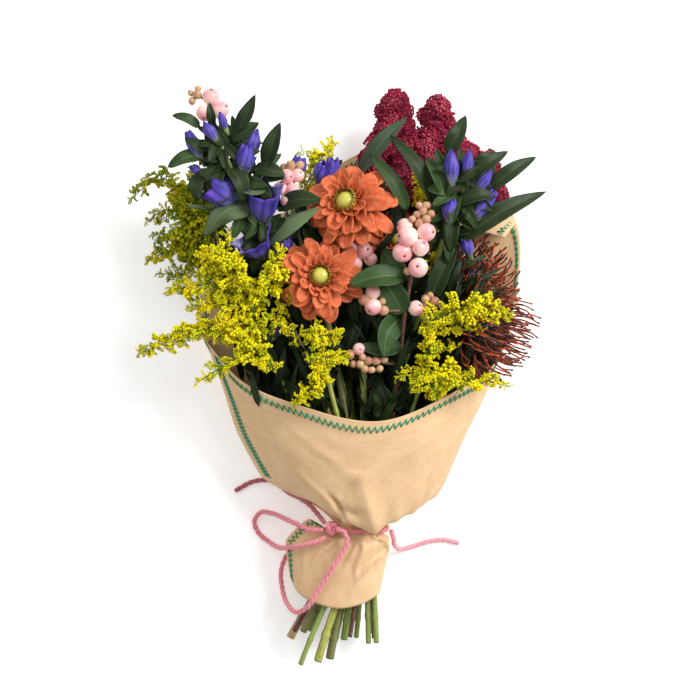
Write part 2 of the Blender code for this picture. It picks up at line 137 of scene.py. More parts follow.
def add_streaks(tree, place, stretch, detail, **settings):
    """Noise drawn out into streaks: stretch is how often it changes along each axis."""
    drawn = add_node(tree, "ShaderNodeMapping", Vector=place, Scale=stretch, **settings)
    return add_noise(tree, drawn.outputs[0], 1.0, detail)


def add_range(tree, value, low, high, to_low=0.0, to_high=1.0):
    """The value moved from one range to another and kept inside it."""
    return add_node(tree, "ShaderNodeMapRange", Value=value, From_Min=low, From_Max=high,
                    To_Min=to_low, To_Max=to_high).outputs[0]


def add_mix(tree, first, second, factor=1.0, blend="MULTIPLY"):
    return add_node(tree, "ShaderNodeMix", data_type="RGBA", blend_type=blend, Factor=factor,
                    _6=first, _7=second).outputs[2]


def object_place(tree):
    return add_node(tree, "ShaderNodeTexCoord").outputs["Object"]


def own_uv(tree):
    return add_node(tree, "ShaderNodeUVMap").outputs["UV"]


def axes_of(tree, uv):
    axes = add_node(tree, "ShaderNodeSeparateXYZ", Vector=uv)
    return axes.outputs["X"], axes.outputs["Y"]


def paint(tree, shader, colour, height, distance, strength=1.0):
    """Gives the shader its colour, and a fine relief from a height."""
    bump = add_node(tree, "ShaderNodeBump", Strength=strength, Distance=distance, Height=height)
    tree.links.new(bump.outputs["Normal"], shader.inputs["Normal"])
    tree.links.new(colour, shader.inputs["Base Color"])


def new_group(name, inputs, outputs):
    """An empty node group with its named inputs and outputs."""
    tree = bpy.data.node_groups.new(name, "ShaderNodeTree")
    for label, kind, value in inputs:
        socket = tree.interface.new_socket(name=label, in_out="INPUT", socket_type=kind)
        socket.default_value = value
    for label, kind in outputs:
        tree.interface.new_socket(name=label, in_out="OUTPUT", socket_type=kind)
    return tree, tree.nodes.new("NodeGroupInput"), tree.nodes.new("NodeGroupOutput")


def use_group(tree, group, **settings):
    made = tree.nodes.new("ShaderNodeGroup")
    made.node_tree = group
    for name, value in settings.items():
        made.inputs[name.replace("_", " ")].default_value = value
    return made


FLOAT = "NodeSocketFloat"
COLOUR = "NodeSocketColor"


def build_mottle():
    """Two colours in soft patches, with a fine grain. Size is the width of one patch."""
    tree, given, result = new_group(
        "mottle",
        [("Base", COLOUR, (0.5, 0.5, 0.5, 1)), ("Patch", COLOUR, (0.4, 0.4, 0.4, 1)),
         ("Size", FLOAT, 0.01), ("Grain", FLOAT, 0.1)],
        [("Colour", COLOUR), ("Height", FLOAT)])
    place = object_place(tree)
    scale = add_math(tree, "DIVIDE", 1.0, given.outputs["Size"])
    patches = add_noise(tree, place, scale, 3.0)
    grain = add_noise(tree, place, add_math(tree, "MULTIPLY", scale, 9.0), 2.0)
    centred = add_math(tree, "SUBTRACT", grain, 0.5)
    speckle = add_math(tree, "MULTIPLY_ADD", centred, given.outputs["Grain"],
                       add_range(tree, patches, 0.36, 0.64))
    mixed = add_mix(tree, given.outputs["Base"], given.outputs["Patch"], speckle, "MIX")
    tree.links.new(mixed, result.inputs["Colour"])
    tree.links.new(grain, result.inputs["Height"])
    return tree


MOTTLE = build_mottle()


def mottled(name, base, patch, size, roughness, grain=0.6, bump=0.00005, **constants):
    """A matt natural surface in two near colours with a fine grain."""
    made, tree, shader = new_material(name, roughness, **constants)
    pattern = use_group(tree, MOTTLE, Base=(*base, 1), Patch=(*patch, 1), Size=size, Grain=grain)
    paint(tree, shader, pattern.outputs["Colour"], pattern.outputs["Height"], bump)
    return made


table_bm = bmesh.new()
bmesh.ops.create_grid(table_bm, x_segments=1, y_segments=1, size=4.0)
bmesh.ops.translate(table_bm, verts=table_bm.verts, vec=(0, 0, -0.2 * MM))
table_mesh = bpy.data.meshes.new("table_top")
table_bm.to_mesh(table_mesh)
table_bm.free()
table_mesh.materials.append(mottled(
    "white_table", (0.93, 0.93, 0.93), (0.9, 0.9, 0.9), 0.3, 0.7, 0.1, 0.00001,
    Emission_Color=(1, 0.99, 0.985, 1), Emission_Strength=TABLE_GLOW))
table_top = bpy.data.objects.new("table_top", table_mesh)
scene.collection.objects.link(table_top)


# ---------------------------------------------------------------- twine
# Soft two-ply jute, dyed pink. One piece goes round the neck of the paper and is tied in a
# slipped bow, so two loops and two loose ends leave the knot. The left end is painted darker,
# as painted shade where it lies low under the flare of the paper, and the right end is paler.
# The twist of the plies shows, and loose fibres stand off it.
TWINE = 4.5 * MM
TWINE_LAY = 12.5 * MM  # length of one full twist of the two plies
TWINE_RING = 0.9 * MM
TABLE_GAP = 0.3 * MM
KNOT_PLACE = Vector((-2.5, -132, 62.5)) * MM
TWINE_ROUTES = {
    # name: length, what its far end meets, colour, painted shade between the plies, route
    "twine_loop_left": (0.205, "object", (0.8, 0.25, 0.3), (0.42, 0.07, 0.1), [
        (-10.5, -133, 64), (-20, -134, 60), (-31, -131, 51), (-46, -126, 36), (-58, -123, 20),
        (-70, -124, 8), (-75, -132, 3.5), (-71, -143, 3), (-62, -150, 7), (-54, -153, 22),
        (-46, -152, 40), (-34, -149, 54), (-20, -145, 62), (-8, -140, 64)]),
    "twine_loop_lower": (0.234, "object", (0.8, 0.26, 0.31), (0.42, 0.07, 0.1), [
        (1.5, -131.5, 70.5), (8, -134, 73), (11, -141, 73), (7, -152, 70.5), (0, -163, 69),
        (-8, -176, 65), (-16, -189, 62), (-25, -203, 57), (-35, -209, 46), (-44, -203, 32),
        (-49, -190, 18), (-50, -176, 9), (-45, -163, 4), (-36, -152, 5), (-24, -143, 11),
        (-9, -138, 18), (0, -136, 23)]),
    # the left end's darker colours are painted shade, where it lies low under the flare of the paper
    "twine_end_left": (0.123, "bare", (0.47, 0.12, 0.15), (0.24, 0.05, 0.07), [
        (-9, -127, 65), (-15, -120, 61), (-23, -112, 53), (-32, -107, 42), (-41, -104, 30),
        (-50, -99, 15), (-61, -94, 5), (-75, -95, 2.6), (-93, -104, 2.4)]),
    "twine_end_right": (0.097, "bare", (0.88, 0.38, 0.44), (0.6, 0.18, 0.24), [
        (50.5, -137, 40), (53, -145, 30), (54, -152, 18), (60, -157, 7), (71, -155, 3),
        (84, -151, 2.5), (100, -149, 2.4), (114, -152, 2.4)]),
}
COLLAR_CENTRE = (21.3, -133, 45)
COLLAR_HALF = (24.9, 21.4)
COLLAR_STEPS = 160
KNOT_STEPS = 120
CURVE_STEPS = 400  # how finely a smooth curve is measured


def slope_at(points, i):
    """The direction of the smooth curve at point i, leaning to its shorter neighbour stretch."""
    stretches = []
    if i > 0:
        stretches.append(points[i] - points[i - 1])
    if i + 1 < len(points):
        stretches.append(points[i + 1] - points[i])
    if len(stretches) == 1:
        return stretches[0] / max(stretches[0].length, 1e-6)
    before, after = (max(s.length, 1e-6) for s in stretches)
    lean = stretches[0] * after / before + stretches[1] * before / after
    return lean / (before + after)


def smooth_point(points, t):
    """The point at t, from 0 to 1, on the smooth curve that passes through every given point."""
    last = len(points) - 1
    place = min(max(t, 0.0), 1.0) * last
    i = min(int(place), last - 1)
    f = place - i
    near = [Vector(p) for p in points[max(i - 1, 0):i + 3]]
    k = min(i, 1)
    reach = (near[k + 1] - near[k]).length
    start = near[k] * (2 * f ** 3 - 3 * f * f + 1) + near[k + 1] * (3 * f * f - 2 * f ** 3)
    lean = slope_at(near, k) * (f ** 3 - 2 * f * f + f) + slope_at(near, k + 1) * (f ** 3 - f * f)
    return start + lean * reach


def even_points(points, step):
    """Points a step apart along the smooth curve through the given points."""
    fine = [smooth_point(points, k / CURVE_STEPS) for k in range(CURVE_STEPS + 1)]
    travelled = [0.0]
    for a, b in zip(fine, fine[1:]):
        travelled.append(travelled[-1] + (b - a).length)
    count = max(2, round(travelled[-1] / step))
    found = []
    i = 0
    for k in range(count + 1):
        goal = travelled[-1] * k / count
        while i < CURVE_STEPS - 1 and travelled[i + 1] < goal:
            i += 1
        share = (goal - travelled[i]) / max(travelled[i + 1] - travelled[i], 1e-9)
        found.append(fine[i].lerp(fine[i + 1], share))
    return found


def in_metres(points):
    return [Vector(p) * MM for p in points]


def faces_of(verts):
    """The faces round those of the vertices that are still there, each once and in order."""
    return list(dict.fromkeys(face for vert in verts if vert.is_valid for face in vert.link_faces))


def skin_line(bm, points, sides, reach, look=0, closed=False):
    """A tube round a line of points. reach(turn, t) is its radius at an angle and at a share
    of the length. Its UV map runs round it in U and along it in V."""
    bm.loops.layers.uv.verify()
    rows = len(points) - 1
    made = bmesh.ops.create_grid(bm, x_segments=sides, y_segments=rows, size=1, calc_uvs=True)
    directions = []
    side = None
    for i, here in enumerate(points):
        if closed:
            ahead = points[(i + 1) % rows] - points[(i - 1) % rows]
        else:
            ahead = points[min(i + 1, rows)] - points[max(i - 1, 0)]
        ahead.normalize()
        side = side or ahead.orthogonal()
        side = (side - ahead * side.dot(ahead)).normalized()
        directions.append((side, ahead.cross(side)))
    for vert in made["verts"]:
        turn = (vert.co.x + 1) * math.pi
        i = round((vert.co.y + 1) / 2 * rows)
        right, up = directions[i]
        away = right * math.cos(turn) + up * math.sin(turn)
        vert.co = points[i] + away * reach(turn, i / rows)
    bmesh.ops.remove_doubles(bm, verts=made["verts"], dist=0.001 * MM)
    faces = faces_of(made["verts"])
    rims = [e for f in faces for e in f.edges if e.is_boundary]
    if rims:
        faces += bmesh.ops.holes_fill(bm, edges=list(dict.fromkeys(rims)), sides=0)["faces"]
    bmesh.ops.recalc_face_normals(bm, faces=faces)
    for face in faces:
        face.material_index = look
    return faces


def piece(name, bm, looks, slot, *nodes):
    """A finished mesh as a piece that rides on the bouquet and stands for its CAD nodes. What
    would press into the table lies flat on it."""
    for vert in bm.verts:
        vert.co.z = max(vert.co.z, TABLE_GAP)
    mesh = bpy.data.meshes.new(name)
    bm.to_mesh(mesh)
    bm.free()
    mesh.shade_smooth()
    for look in looks:
        mesh.materials.append(look)
    made = bpy.data.objects.new(name, mesh)
    scene.collection.objects.link(made)
    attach(made, "root")
    if nodes:
        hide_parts(*nodes)
    return made


def twine_look(name, colour, shade):
    """Dyed plies, darkened with painted shade where they meet, with pale fibres that run along them."""
    made, tree, shader = new_material(name, 0.95, Sheen_Weight=0.4, Sheen_Tint=(1, 0.75, 0.75, 1))
    uv = own_uv(tree)
    angle = add_math(tree, "MULTIPLY", axes_of(tree, uv)[0], 2 * math.pi)
    ply = add_math(tree, "ABSOLUTE", add_math(tree, "COSINE", angle))
    fibres = add_streaks(tree, uv, (14, 160, 1), 4.0)
    # painted shade: the plies darken towards the groove where they meet
    body = add_ramp(tree, ply, (0.0, shade), (0.45, colour), (1.0, colour))
    pale = tuple(min(1.0, c * 1.25 + 0.08) for c in colour)
    streak = add_ramp(tree, fibres, (0.35, shade), (0.5, colour), (0.68, pale))
    paint(tree, shader, add_mix(tree, body, streak, 0.5, "MIX"), fibres, 0.3 * MM, 0.8)
    return made


def lay_twine(bm, points, closed=False):
    """Two plies twisted together along the points, as one grooved skin."""
    length = sum((b - a).length for a, b in zip(points, points[1:]))
    turns = length / TWINE_LAY
    if closed:
        turns = round(turns * 2) / 2

    def reach(turn, t):
        ply = abs(math.cos(turn + 2 * math.pi * turns * t)) ** 0.8
        fray = 0.05 * noise.noise(Vector((math.cos(turn) * 2, math.sin(turn) * 2, t * length / MM)))
        return TWINE / 2 * (0.66 + 0.36 * ply + fray)

    faces = skin_line(bm, points, 18, reach, closed=closed)
    uv = bm.loops.layers.uv.verify()
    for face in faces:
        for loop in face.loops:
            loop[uv].uv.x += turns * loop[uv].uv.y


def any_way(rng):
    """A random vector, up to 1 along each axis."""
    return Vector([rng.uniform(-1, 1) for _ in range(3)])


def fray_twine(name, lines, look, rng):
    """Loose fibres that stand off the twine all along it."""
    bm = bmesh.new()
    for points in lines:
        for k in range(len(points) * 4):
            here = rng.choice(points[2:-2])
            away = any_way(rng).normalized()
            bend = any_way(rng) * 0.8 * MM
            foot = here + away * TWINE * 0.42
            tip = here + away * TWINE * rng.uniform(0.6, 1.15) + bend
            if tip.z < 0.2 * MM:
                continue
            skin_line(bm, [foot, (foot + tip) / 2 + bend * 0.4, tip], 3,
                      lambda turn, t: (0.08 - 0.05 * t) * MM)
    return piece(name, bm, [look], "jute_twine")


rng = random.Random(11)
frayed_lines = []
for cord_name, (length, far_end, colour, shade, route) in TWINE_ROUTES.items():
    centres = even_points(in_metres(route), TWINE_RING)
    twine_bm = bmesh.new()
    lay_twine(twine_bm, centres)
    strand = piece(cord_name + "_plies", twine_bm, [twine_look(cord_name, colour, shade)],
                   "jute_twine", cord_name)
    frayed_lines.append(centres)

collar_line = []
for k in range(COLLAR_STEPS + 1):
    turn = k / COLLAR_STEPS
    angle = math.radians(124 - 332 * turn)
    flat = (math.cos(angle) ** 4 + math.sin(angle) ** 4) ** -0.25
    collar_line.append(Vector((
        COLLAR_CENTRE[0] + COLLAR_HALF[0] * flat * math.cos(angle),
        COLLAR_CENTRE[1] + 2 * turn - 1,
        COLLAR_CENTRE[2] + COLLAR_HALF[1] * flat * math.sin(angle))) * MM)
collar_bm = bmesh.new()
lay_twine(collar_bm, collar_line)
TWINE_TIE = twine_look("twine_tie", (0.78, 0.24, 0.29), (0.4, 0.07, 0.1))
piece("twine_collar_plies", collar_bm, [TWINE_TIE], "jute_twine", "twine_collar")

# the knot: one short length wound twice round where the loops cross
knot_line = []
for k in range(KNOT_STEPS + 1):
    turn = 2 * math.pi * k / KNOT_STEPS
    knot_line.append(KNOT_PLACE + Vector((
        math.cos(2 * turn) * (3.3 + 1.2 * math.cos(3 * turn)),
        math.sin(2 * turn) * (3.3 + 1.2 * math.cos(3 * turn)) + 0.5,
        2.2 * math.sin(3 * turn) + 1.5)) * MM)
knot_bm = bmesh.new()
lay_twine(knot_bm, knot_line, closed=True)
piece("twine_knot_turns", knot_bm, [TWINE_TIE], "jute_twine", "twine_knot")
fray_twine("twine_fibres", frayed_lines, mottled(
    "loose_fibre", (0.9, 0.52, 0.55), (0.8, 0.36, 0.4), 0.002, 0.95), rng)


# ---------------------------------------------------------------- the paper wrap
# One sheet of brown kraft paper rolled round the stems and gathered at the tie. Its left edge
# and its mouth are zigzag-stitched in green thread, so the thread shows on both faces. The back
# corner at the top right is folded over.
PAPER = 0.5 * MM
PAPER_ACROSS = 190
PAPER_ALONG = 150
SHEET_FLAT = (0.46, 0.38)
WRAP_ROWS = [
    # hem
    [(-41, -180, 28), (-33, -192, 44), (-14, -201, 54), (4, -204, 57),
     (24, -200, 55), (37, -194, 47), (41, -190, 30), (32, -194, 7),
     (4, -200, 1), (-22, -196, 4), (-36, -186, 16), (-35, -186, 34)],
    # skirt
    [(-45, -146, 30), (-30, -152, 46), (-6, -160, 58), (10, -165, 62),
     (28, -163, 60), (44, -158, 49), (47, -157, 32), (36, -160, 8),
     (6, -164, 2), (-22, -160, 6), (-38, -152, 20), (-31, -151, 38)],
    # just below the tie
    [(-24, -127, 34), (-14, -135, 50), (3, -145, 61), (20, -149, 65),
     (38, -146, 61), (46, -143, 51), (47, -142, 38), (40, -144, 25),
     (20, -147, 18), (1, -144, 22), (-12, -138, 34), (-7, -138, 44)],
    # lower edge of the tie
    [(-0.3, -139, 41), (0.8, -139, 51), (7, -140, 59), (22, -140, 62.5),
     (37.5, -140, 59), (42.3, -139, 51), (42.5, -138, 40), (37.5, -139, 31),
     (22, -140, 27.5), (7, -139, 30.5), (2.4, -138, 39), (4, -138, 48.5)],
    # upper edge of the tie
    [(-0.3, -128, 41), (0.8, -128, 51), (7, -128, 59), (22, -128, 62.5),
     (37.5, -128, 59), (42.3, -128, 51), (42.5, -128, 40), (37.5, -128, 31),
     (22, -128, 27.5), (7, -128, 30.5), (2.4, -128, 39), (4, -128, 48.5)],
    # shoulder
    [(-66, -88, 40), (-42, -92, 62), (1, -116, 77), (25, -130, 80),
     (57, -122, 77), (84, -107, 60), (95, -99, 40), (66, -112, 12),
     (22, -112, 5), (-18, -104, 10), (-45, -93, 28), (-34, -96, 48)],
    # belly
    [(-88, -46, 48), (-60, -54, 74), (-20, -70, 88), (26, -82, 93),
     (75, -74, 89), (106, -62, 68), (116, -50, 42), (85, -50, 10),
     (20, -50, 1.5), (-40, -50, 5), (-78, -46, 20), (-72, -44, 46)],
    # chest
    [(-101, -4, 54), (-72, -24, 80), (-27, -42, 94), (33, -56, 100),
     (92, -38, 94), (124, -26, 70), (140, 14, 38), (130, 50, 8),
     (30, 60, 1), (-60, 20, 4), (-104, 0, 18), (-92, -6, 46)],
    # mouth
    [(-113, 32, 58), (-81, -1, 85), (-32, -21, 99), (39, -35, 104),
     (104, -10, 94), (138, 10, 62), (162, 66, 30), (166, 143, 14),
     (44, 213, 1.5), (-72, 128, 3), (-124, 52, 14), (-104, 16, 42)],
]
TIE_PLACE = 0.44  # where the tie is, as a share of the way from the hem to the mouth
CREASES = [
    # start, end, how far it stands off the sheet, its half width: the last two in millimetres
    ((0.268, 0.735), (0.335, 0.5), 5.5, 15), ((0.200, 0.655), (0.258, 0.73), -4.0, 9),
    ((0.205, 0.645), (0.268, 0.66), -4.5, 8), ((0.200, 0.62), (0.240, 0.5), 3.5, 8),
    ((0.300, 0.73), (0.363, 0.87), 1.6, 16), ((0.332, 0.69), (0.384, 0.53), 2.0, 11),
    ((0.384, 0.69), (0.420, 0.55), 1.6, 9), ((0.137, 0.69), (0.200, 0.64), 2.0, 9),
    ((0.070, 0.64), (0.190, 0.56), 1.8, 9), ((0.160, 0.86), (0.250, 0.74), 1.0, 13),
    ((0.190, 0.66), (0.206, 0.61), -10.0, 8), ((0.495, 0.66), (0.470, 0.5), 1.8, 9),
    ((0.274, 0.40), (0.321, 0.10), 4.5, 9), ((0.337, 0.38), (0.479, 0.15), 4.0, 9),
    ((0.430, 0.17), (0.330, 0.08), 4.2, 8), ((0.200, 0.38), (0.142, 0.11), 3.0, 9),
    ((0.200, 0.37), (0.190, 0.08), 1.4, 8), ((0.240, 0.39), (0.250, 0.12), -2.0, 9),
    ((0.080, 0.40), (0.110, 0.05), 1.4, 8), ((0.360, 0.40), (0.400, 0.10), -2.0, 9),
    ((0.600, 0.50), (0.620, 0.72), 2.0, 10), ((0.700, 0.50), (0.720, 0.75), 2.2, 11),
    ((0.800, 0.50), (0.790, 0.70), 1.8, 9), ((0.900, 0.50), (0.880, 0.74), 1.8, 10),
    ((0.650, 0.40), (0.660, 0.15), 1.8, 9), ((0.750, 0.40), (0.770, 0.12), 1.8, 9),
    ((0.860, 0.40), (0.850, 0.15), 1.6, 9),
]


def on_flat(u, v):
    """A place on the flat sheet, in millimetres."""
    return Vector((u * SHEET_FLAT[0], v * SHEET_FLAT[1])) / MM


def crease(u, v):
    """How far the paper stands off its smooth shape: gathers at the tie, creases that run out
    of them, and a slight crumple everywhere."""
    gather = math.exp(-((v - TIE_PLACE) / 0.085) ** 2)
    spacing = 46 * u + 1.2 * math.sin(9 * u) + 0.7 * noise.noise(Vector((u * 14, 0.4, 0)))
    pleat = 1 - 2 * abs(math.sin(spacing * math.pi / 2))
    fan = math.exp(-((v - 0.56) / 0.13) ** 2) + 0.8 * math.exp(-((v - 0.26) / 0.1) ** 2)
    ridge = 1 - 2 * abs(noise.noise(Vector((u * 12 + 3.1, v * 1.7, 0.7))))
    slow = noise.noise(Vector((u * 5, v * 4, 2.2)))
    fine = noise.noise(Vector((u * 26, v * 17, 5.1)))
    folds = 0.0
    here = on_flat(u, v)
    for start, end, height, half in CREASES:
        foot = on_flat(*start)
        run = on_flat(*end) - foot
        share = min(max((here - foot).dot(run) / run.length_squared, 0.0), 1.0)
        off = (here - foot - run * share).length / half
        folds += height * max(0.0, 1 - off) ** 1.4 * math.sin(math.pi * (0.15 + 0.7 * share))
    return (1.1 * pleat * gather + 1.3 * (ridge - 0.55) * fan + folds + 0.9 * slow + 0.2 * fine) * MM


def shape_paper():
    """The creased sheet, and where each of its vertices is and faces."""
    bm = bmesh.new()
    uv = bm.loops.layers.uv.verify()
    bmesh.ops.create_grid(bm, x_segments=PAPER_ACROSS, y_segments=PAPER_ALONG, size=1, calc_uvs=True)
    columns = []
    for i in range(PAPER_ACROSS + 1):
        columns.append([smooth_point(row, i / PAPER_ACROSS) for row in WRAP_ROWS])
    grid = {}
    for vert in bm.verts:
        i = round((vert.co.x + 1) / 2 * PAPER_ACROSS)
        j = round((vert.co.y + 1) / 2 * PAPER_ALONG)
        grid[i, j] = vert
        place = j / PAPER_ALONG * (len(WRAP_ROWS) - 1)
        row = min(int(place), len(WRAP_ROWS) - 2)
        straight = columns[i][row].lerp(columns[i][row + 1], place - row)
        vert.co = smooth_point(columns[i], j / PAPER_ALONG).lerp(straight, 0.6) * MM
    bmesh.ops.recalc_face_normals(bm, faces=bm.faces)
    middle = grid[PAPER_ACROSS // 3, PAPER_ALONG * 3 // 4]
    bm.normal_update()
    if middle.normal.z < 0:
        bmesh.ops.reverse_faces(bm, faces=bm.faces)
        bm.normal_update()
    for (i, j), vert in grid.items():
        lift = crease(i / PAPER_ACROSS, j / PAPER_ALONG)
        vert.co += vert.normal * lift
        vert.co.z = max(vert.co.z, PAPER / 2 + 0.05 * MM)
    for face in bm.faces:
        for loop in face.loops:
            loop[uv].uv = (loop[uv].uv.x * SHEET_FLAT[0], loop[uv].uv.y * SHEET_FLAT[1])
    bm.normal_update()
    places = {key: (vert.co.copy(), vert.normal.copy()) for key, vert in grid.items()}
    return bm, places


def kraft_look():
    """Kraft paper: mottled pulp in soft clouds, with fine darker fibres that cross."""
    made, tree, shader = new_material("kraft_paper_pulp", 0.82, Specular_IOR_Level=0.25)
    uv = own_uv(tree)
    pulp = add_noise(tree, uv, 55.0, 6.0, Roughness=0.6)
    clouds = add_noise(tree, uv, 7.0, 2.0)
    fibres = add_math(tree, "MULTIPLY", add_streaks(tree, uv, (260, 1900, 1), 2.0),
                      add_streaks(tree, uv, (1700, 300, 1), 2.0, Rotation=(0, 0, 0.5)))
    base = add_ramp(tree, pulp, (0.3, (0.69, 0.455, 0.245)), (0.7, (0.8, 0.565, 0.335)))
    cloudy = add_ramp(tree, clouds, (0.3, (0.92, 0.9, 0.88)), (0.7, (1, 1, 1)))
    speck = add_ramp(tree, fibres, (0.1, (0.8, 0.76, 0.7)), (0.22, (1, 1, 1)))
    pulpy = add_mix(tree, add_mix(tree, base, cloudy), speck)
    paint(tree, shader, pulpy, fibres, 0.1 * MM, 0.5)
    return made


def give_wall(made, thickness, back=0):
    """Gives a thin piece its thickness. Its back takes the material that comes `back` later."""
    wall = made.modifiers.new("wall", "SOLIDIFY")
    wall.thickness = thickness
    wall.offset = 0
    wall.material_offset = back


KRAFT = kraft_look()
paper_bm, PAPER_GRID = shape_paper()
paper_sheet = piece("paper_sheet", paper_bm, [KRAFT], "kraft_paper", "wrap_paper")
give_wall(paper_sheet, PAPER)

# the back corner, folded over towards the flowers: its four corners, the outer two on the rim
FLAP = [(126, 136, 20), (153, 128, 33), (166, 143.5, 17), (157, 151, 14)]
flap_bm = bmesh.new()
flap_uv = flap_bm.loops.layers.uv.verify()
bmesh.ops.create_grid(flap_bm, x_segments=14, y_segments=10, size=1, calc_uvs=True)
for vert in flap_bm.verts:
    across = (vert.co.x + 1) / 2
    along = (vert.co.y + 1) / 2
    lower = Vector(FLAP[0]).lerp(Vector(FLAP[1]), across)
    upper = Vector(FLAP[3]).lerp(Vector(FLAP[2]), across)
    bulge = 2.5 * math.sin(math.pi * across) * math.sin(math.pi * along)
    vert.co = (lower.lerp(upper, along) + Vector((0, 0, bulge))) * MM
for face in flap_bm.faces:
    for loop in face.loops:
        loop[flap_uv].uv = (loop[flap_uv].uv.x * 0.04, loop[flap_uv].uv.y * 0.02)
bmesh.ops.recalc_face_normals(flap_bm, faces=flap_bm.faces)
paper_flap = piece("paper_folded_corner", flap_bm, [KRAFT], "kraft_paper")
give_wall(paper_flap, PAPER)


def on_paper(u, v, lift):
    """A place on the creased sheet, lifted off its outer face, or off its inner one below 0."""
    x = min(max(u, 0), 1) * PAPER_ACROSS
    y = min(max(v, 0), 1) * PAPER_ALONG
    i = min(int(x), PAPER_ACROSS - 1)
    j = min(int(y), PAPER_ALONG - 1)
    place = Vector((0, 0, 0))
    normal = Vector((0, 0, 0))
    for a, b, share in ((i, j, (i + 1 - x) * (j + 1 - y)), (i + 1, j, (x - i) * (j + 1 - y)),
                        (i, j + 1, (i + 1 - x) * (y - j)), (i + 1, j + 1, (x - i) * (y - j))):
        place += PAPER_GRID[a, b][0] * share
        normal += PAPER_GRID[a, b][1] * share
    return place + normal.normalized() * lift


THREAD = 0.55 * MM  # radius of the sewing thread
THREAD_GREEN = mottled("thread_green", (0.008, 0.2, 0.085), (0.015, 0.31, 0.15), 0.002, 0.55, 0.8)
UP = Vector((0, 0, 1))


def paper_reach(u, v, du, dv):
    """How much u or v changes over one metre of paper, in the direction (du, dv)."""
    step = 4 * MM
    gap = (on_paper(u + du * step, v + dv * step, 0) - on_paper(u, v, 0)).length
    return step / max(gap, 1e-6)


def sew(bm, along, inset, width, pitch, start, end):
    """A row of zigzag stitches beside an edge, on both faces of the paper. along(s, d) is the
    place (u, v) at a share s of the edge and a distance d inside it."""
    needle = []
    side = 1
    s = start
    ahead = 0.002
    while s < end:
        needle.append((s, inset + side * width / 2))
        here = on_paper(*along(s, inset), 0)
        near = on_paper(*along(s + ahead, inset), 0)
        s += pitch / 2 * ahead / max((near - here).length, 1e-6)
        side = -side
    for face in (1, -1):
        lifts = (PAPER / 2, PAPER / 2 + THREAD * 0.9, PAPER / 2 + THREAD * 0.9, PAPER / 2)
        for (s_a, d_a), (s_b, d_b) in zip(needle, needle[1:]):
            line = []
            for k, lift in enumerate(lifts):
                f = k / 3
                u, v = along(s_a + (s_b - s_a) * f, d_a + (d_b - d_a) * f)
                line.append(on_paper(u, v, lift * face))
            if min(p.z for p in line) < THREAD:
                continue
            skin_line(bm, line, 5, lambda turn, t: THREAD)


def from_left_edge(s, d):
    return d * paper_reach(0.002, s, 1, 0), s


def from_mouth(s, d):
    return s, 1 - d * paper_reach(s, 0.99, 0, -1)


thread_bm = bmesh.new()
sew(thread_bm, from_left_edge, 10.5 * MM, 8.4 * MM, 3.5 * MM, 0.63, 0.985)
sew(thread_bm, from_left_edge, 7 * MM, 7.5 * MM, 4.6 * MM, 0.01, 0.3)
sew(thread_bm, from_mouth, 8.0 * MM, 6.2 * MM, 5.4 * MM, 0.025, 0.98)
flap_needle = []
for k in range(9):
    near_rim = Vector(FLAP[1]).lerp(Vector(FLAP[2]), 0.15 + 0.7 * k / 8)
    inward = (Vector(FLAP[0]) - Vector(FLAP[1])).normalized()
    flap_needle.append((near_rim + inward * (10 if k % 2 else 4) + UP * 3.2) * MM)
for foot, tip in zip(flap_needle, flap_needle[1:]):
    skin_line(thread_bm, [foot, (foot + tip) / 2 + UP * 0.2 * MM, tip], 5, lambda turn, t: THREAD)
piece("sewing_thread", thread_bm, [THREAD_GREEN], "kraft_paper")


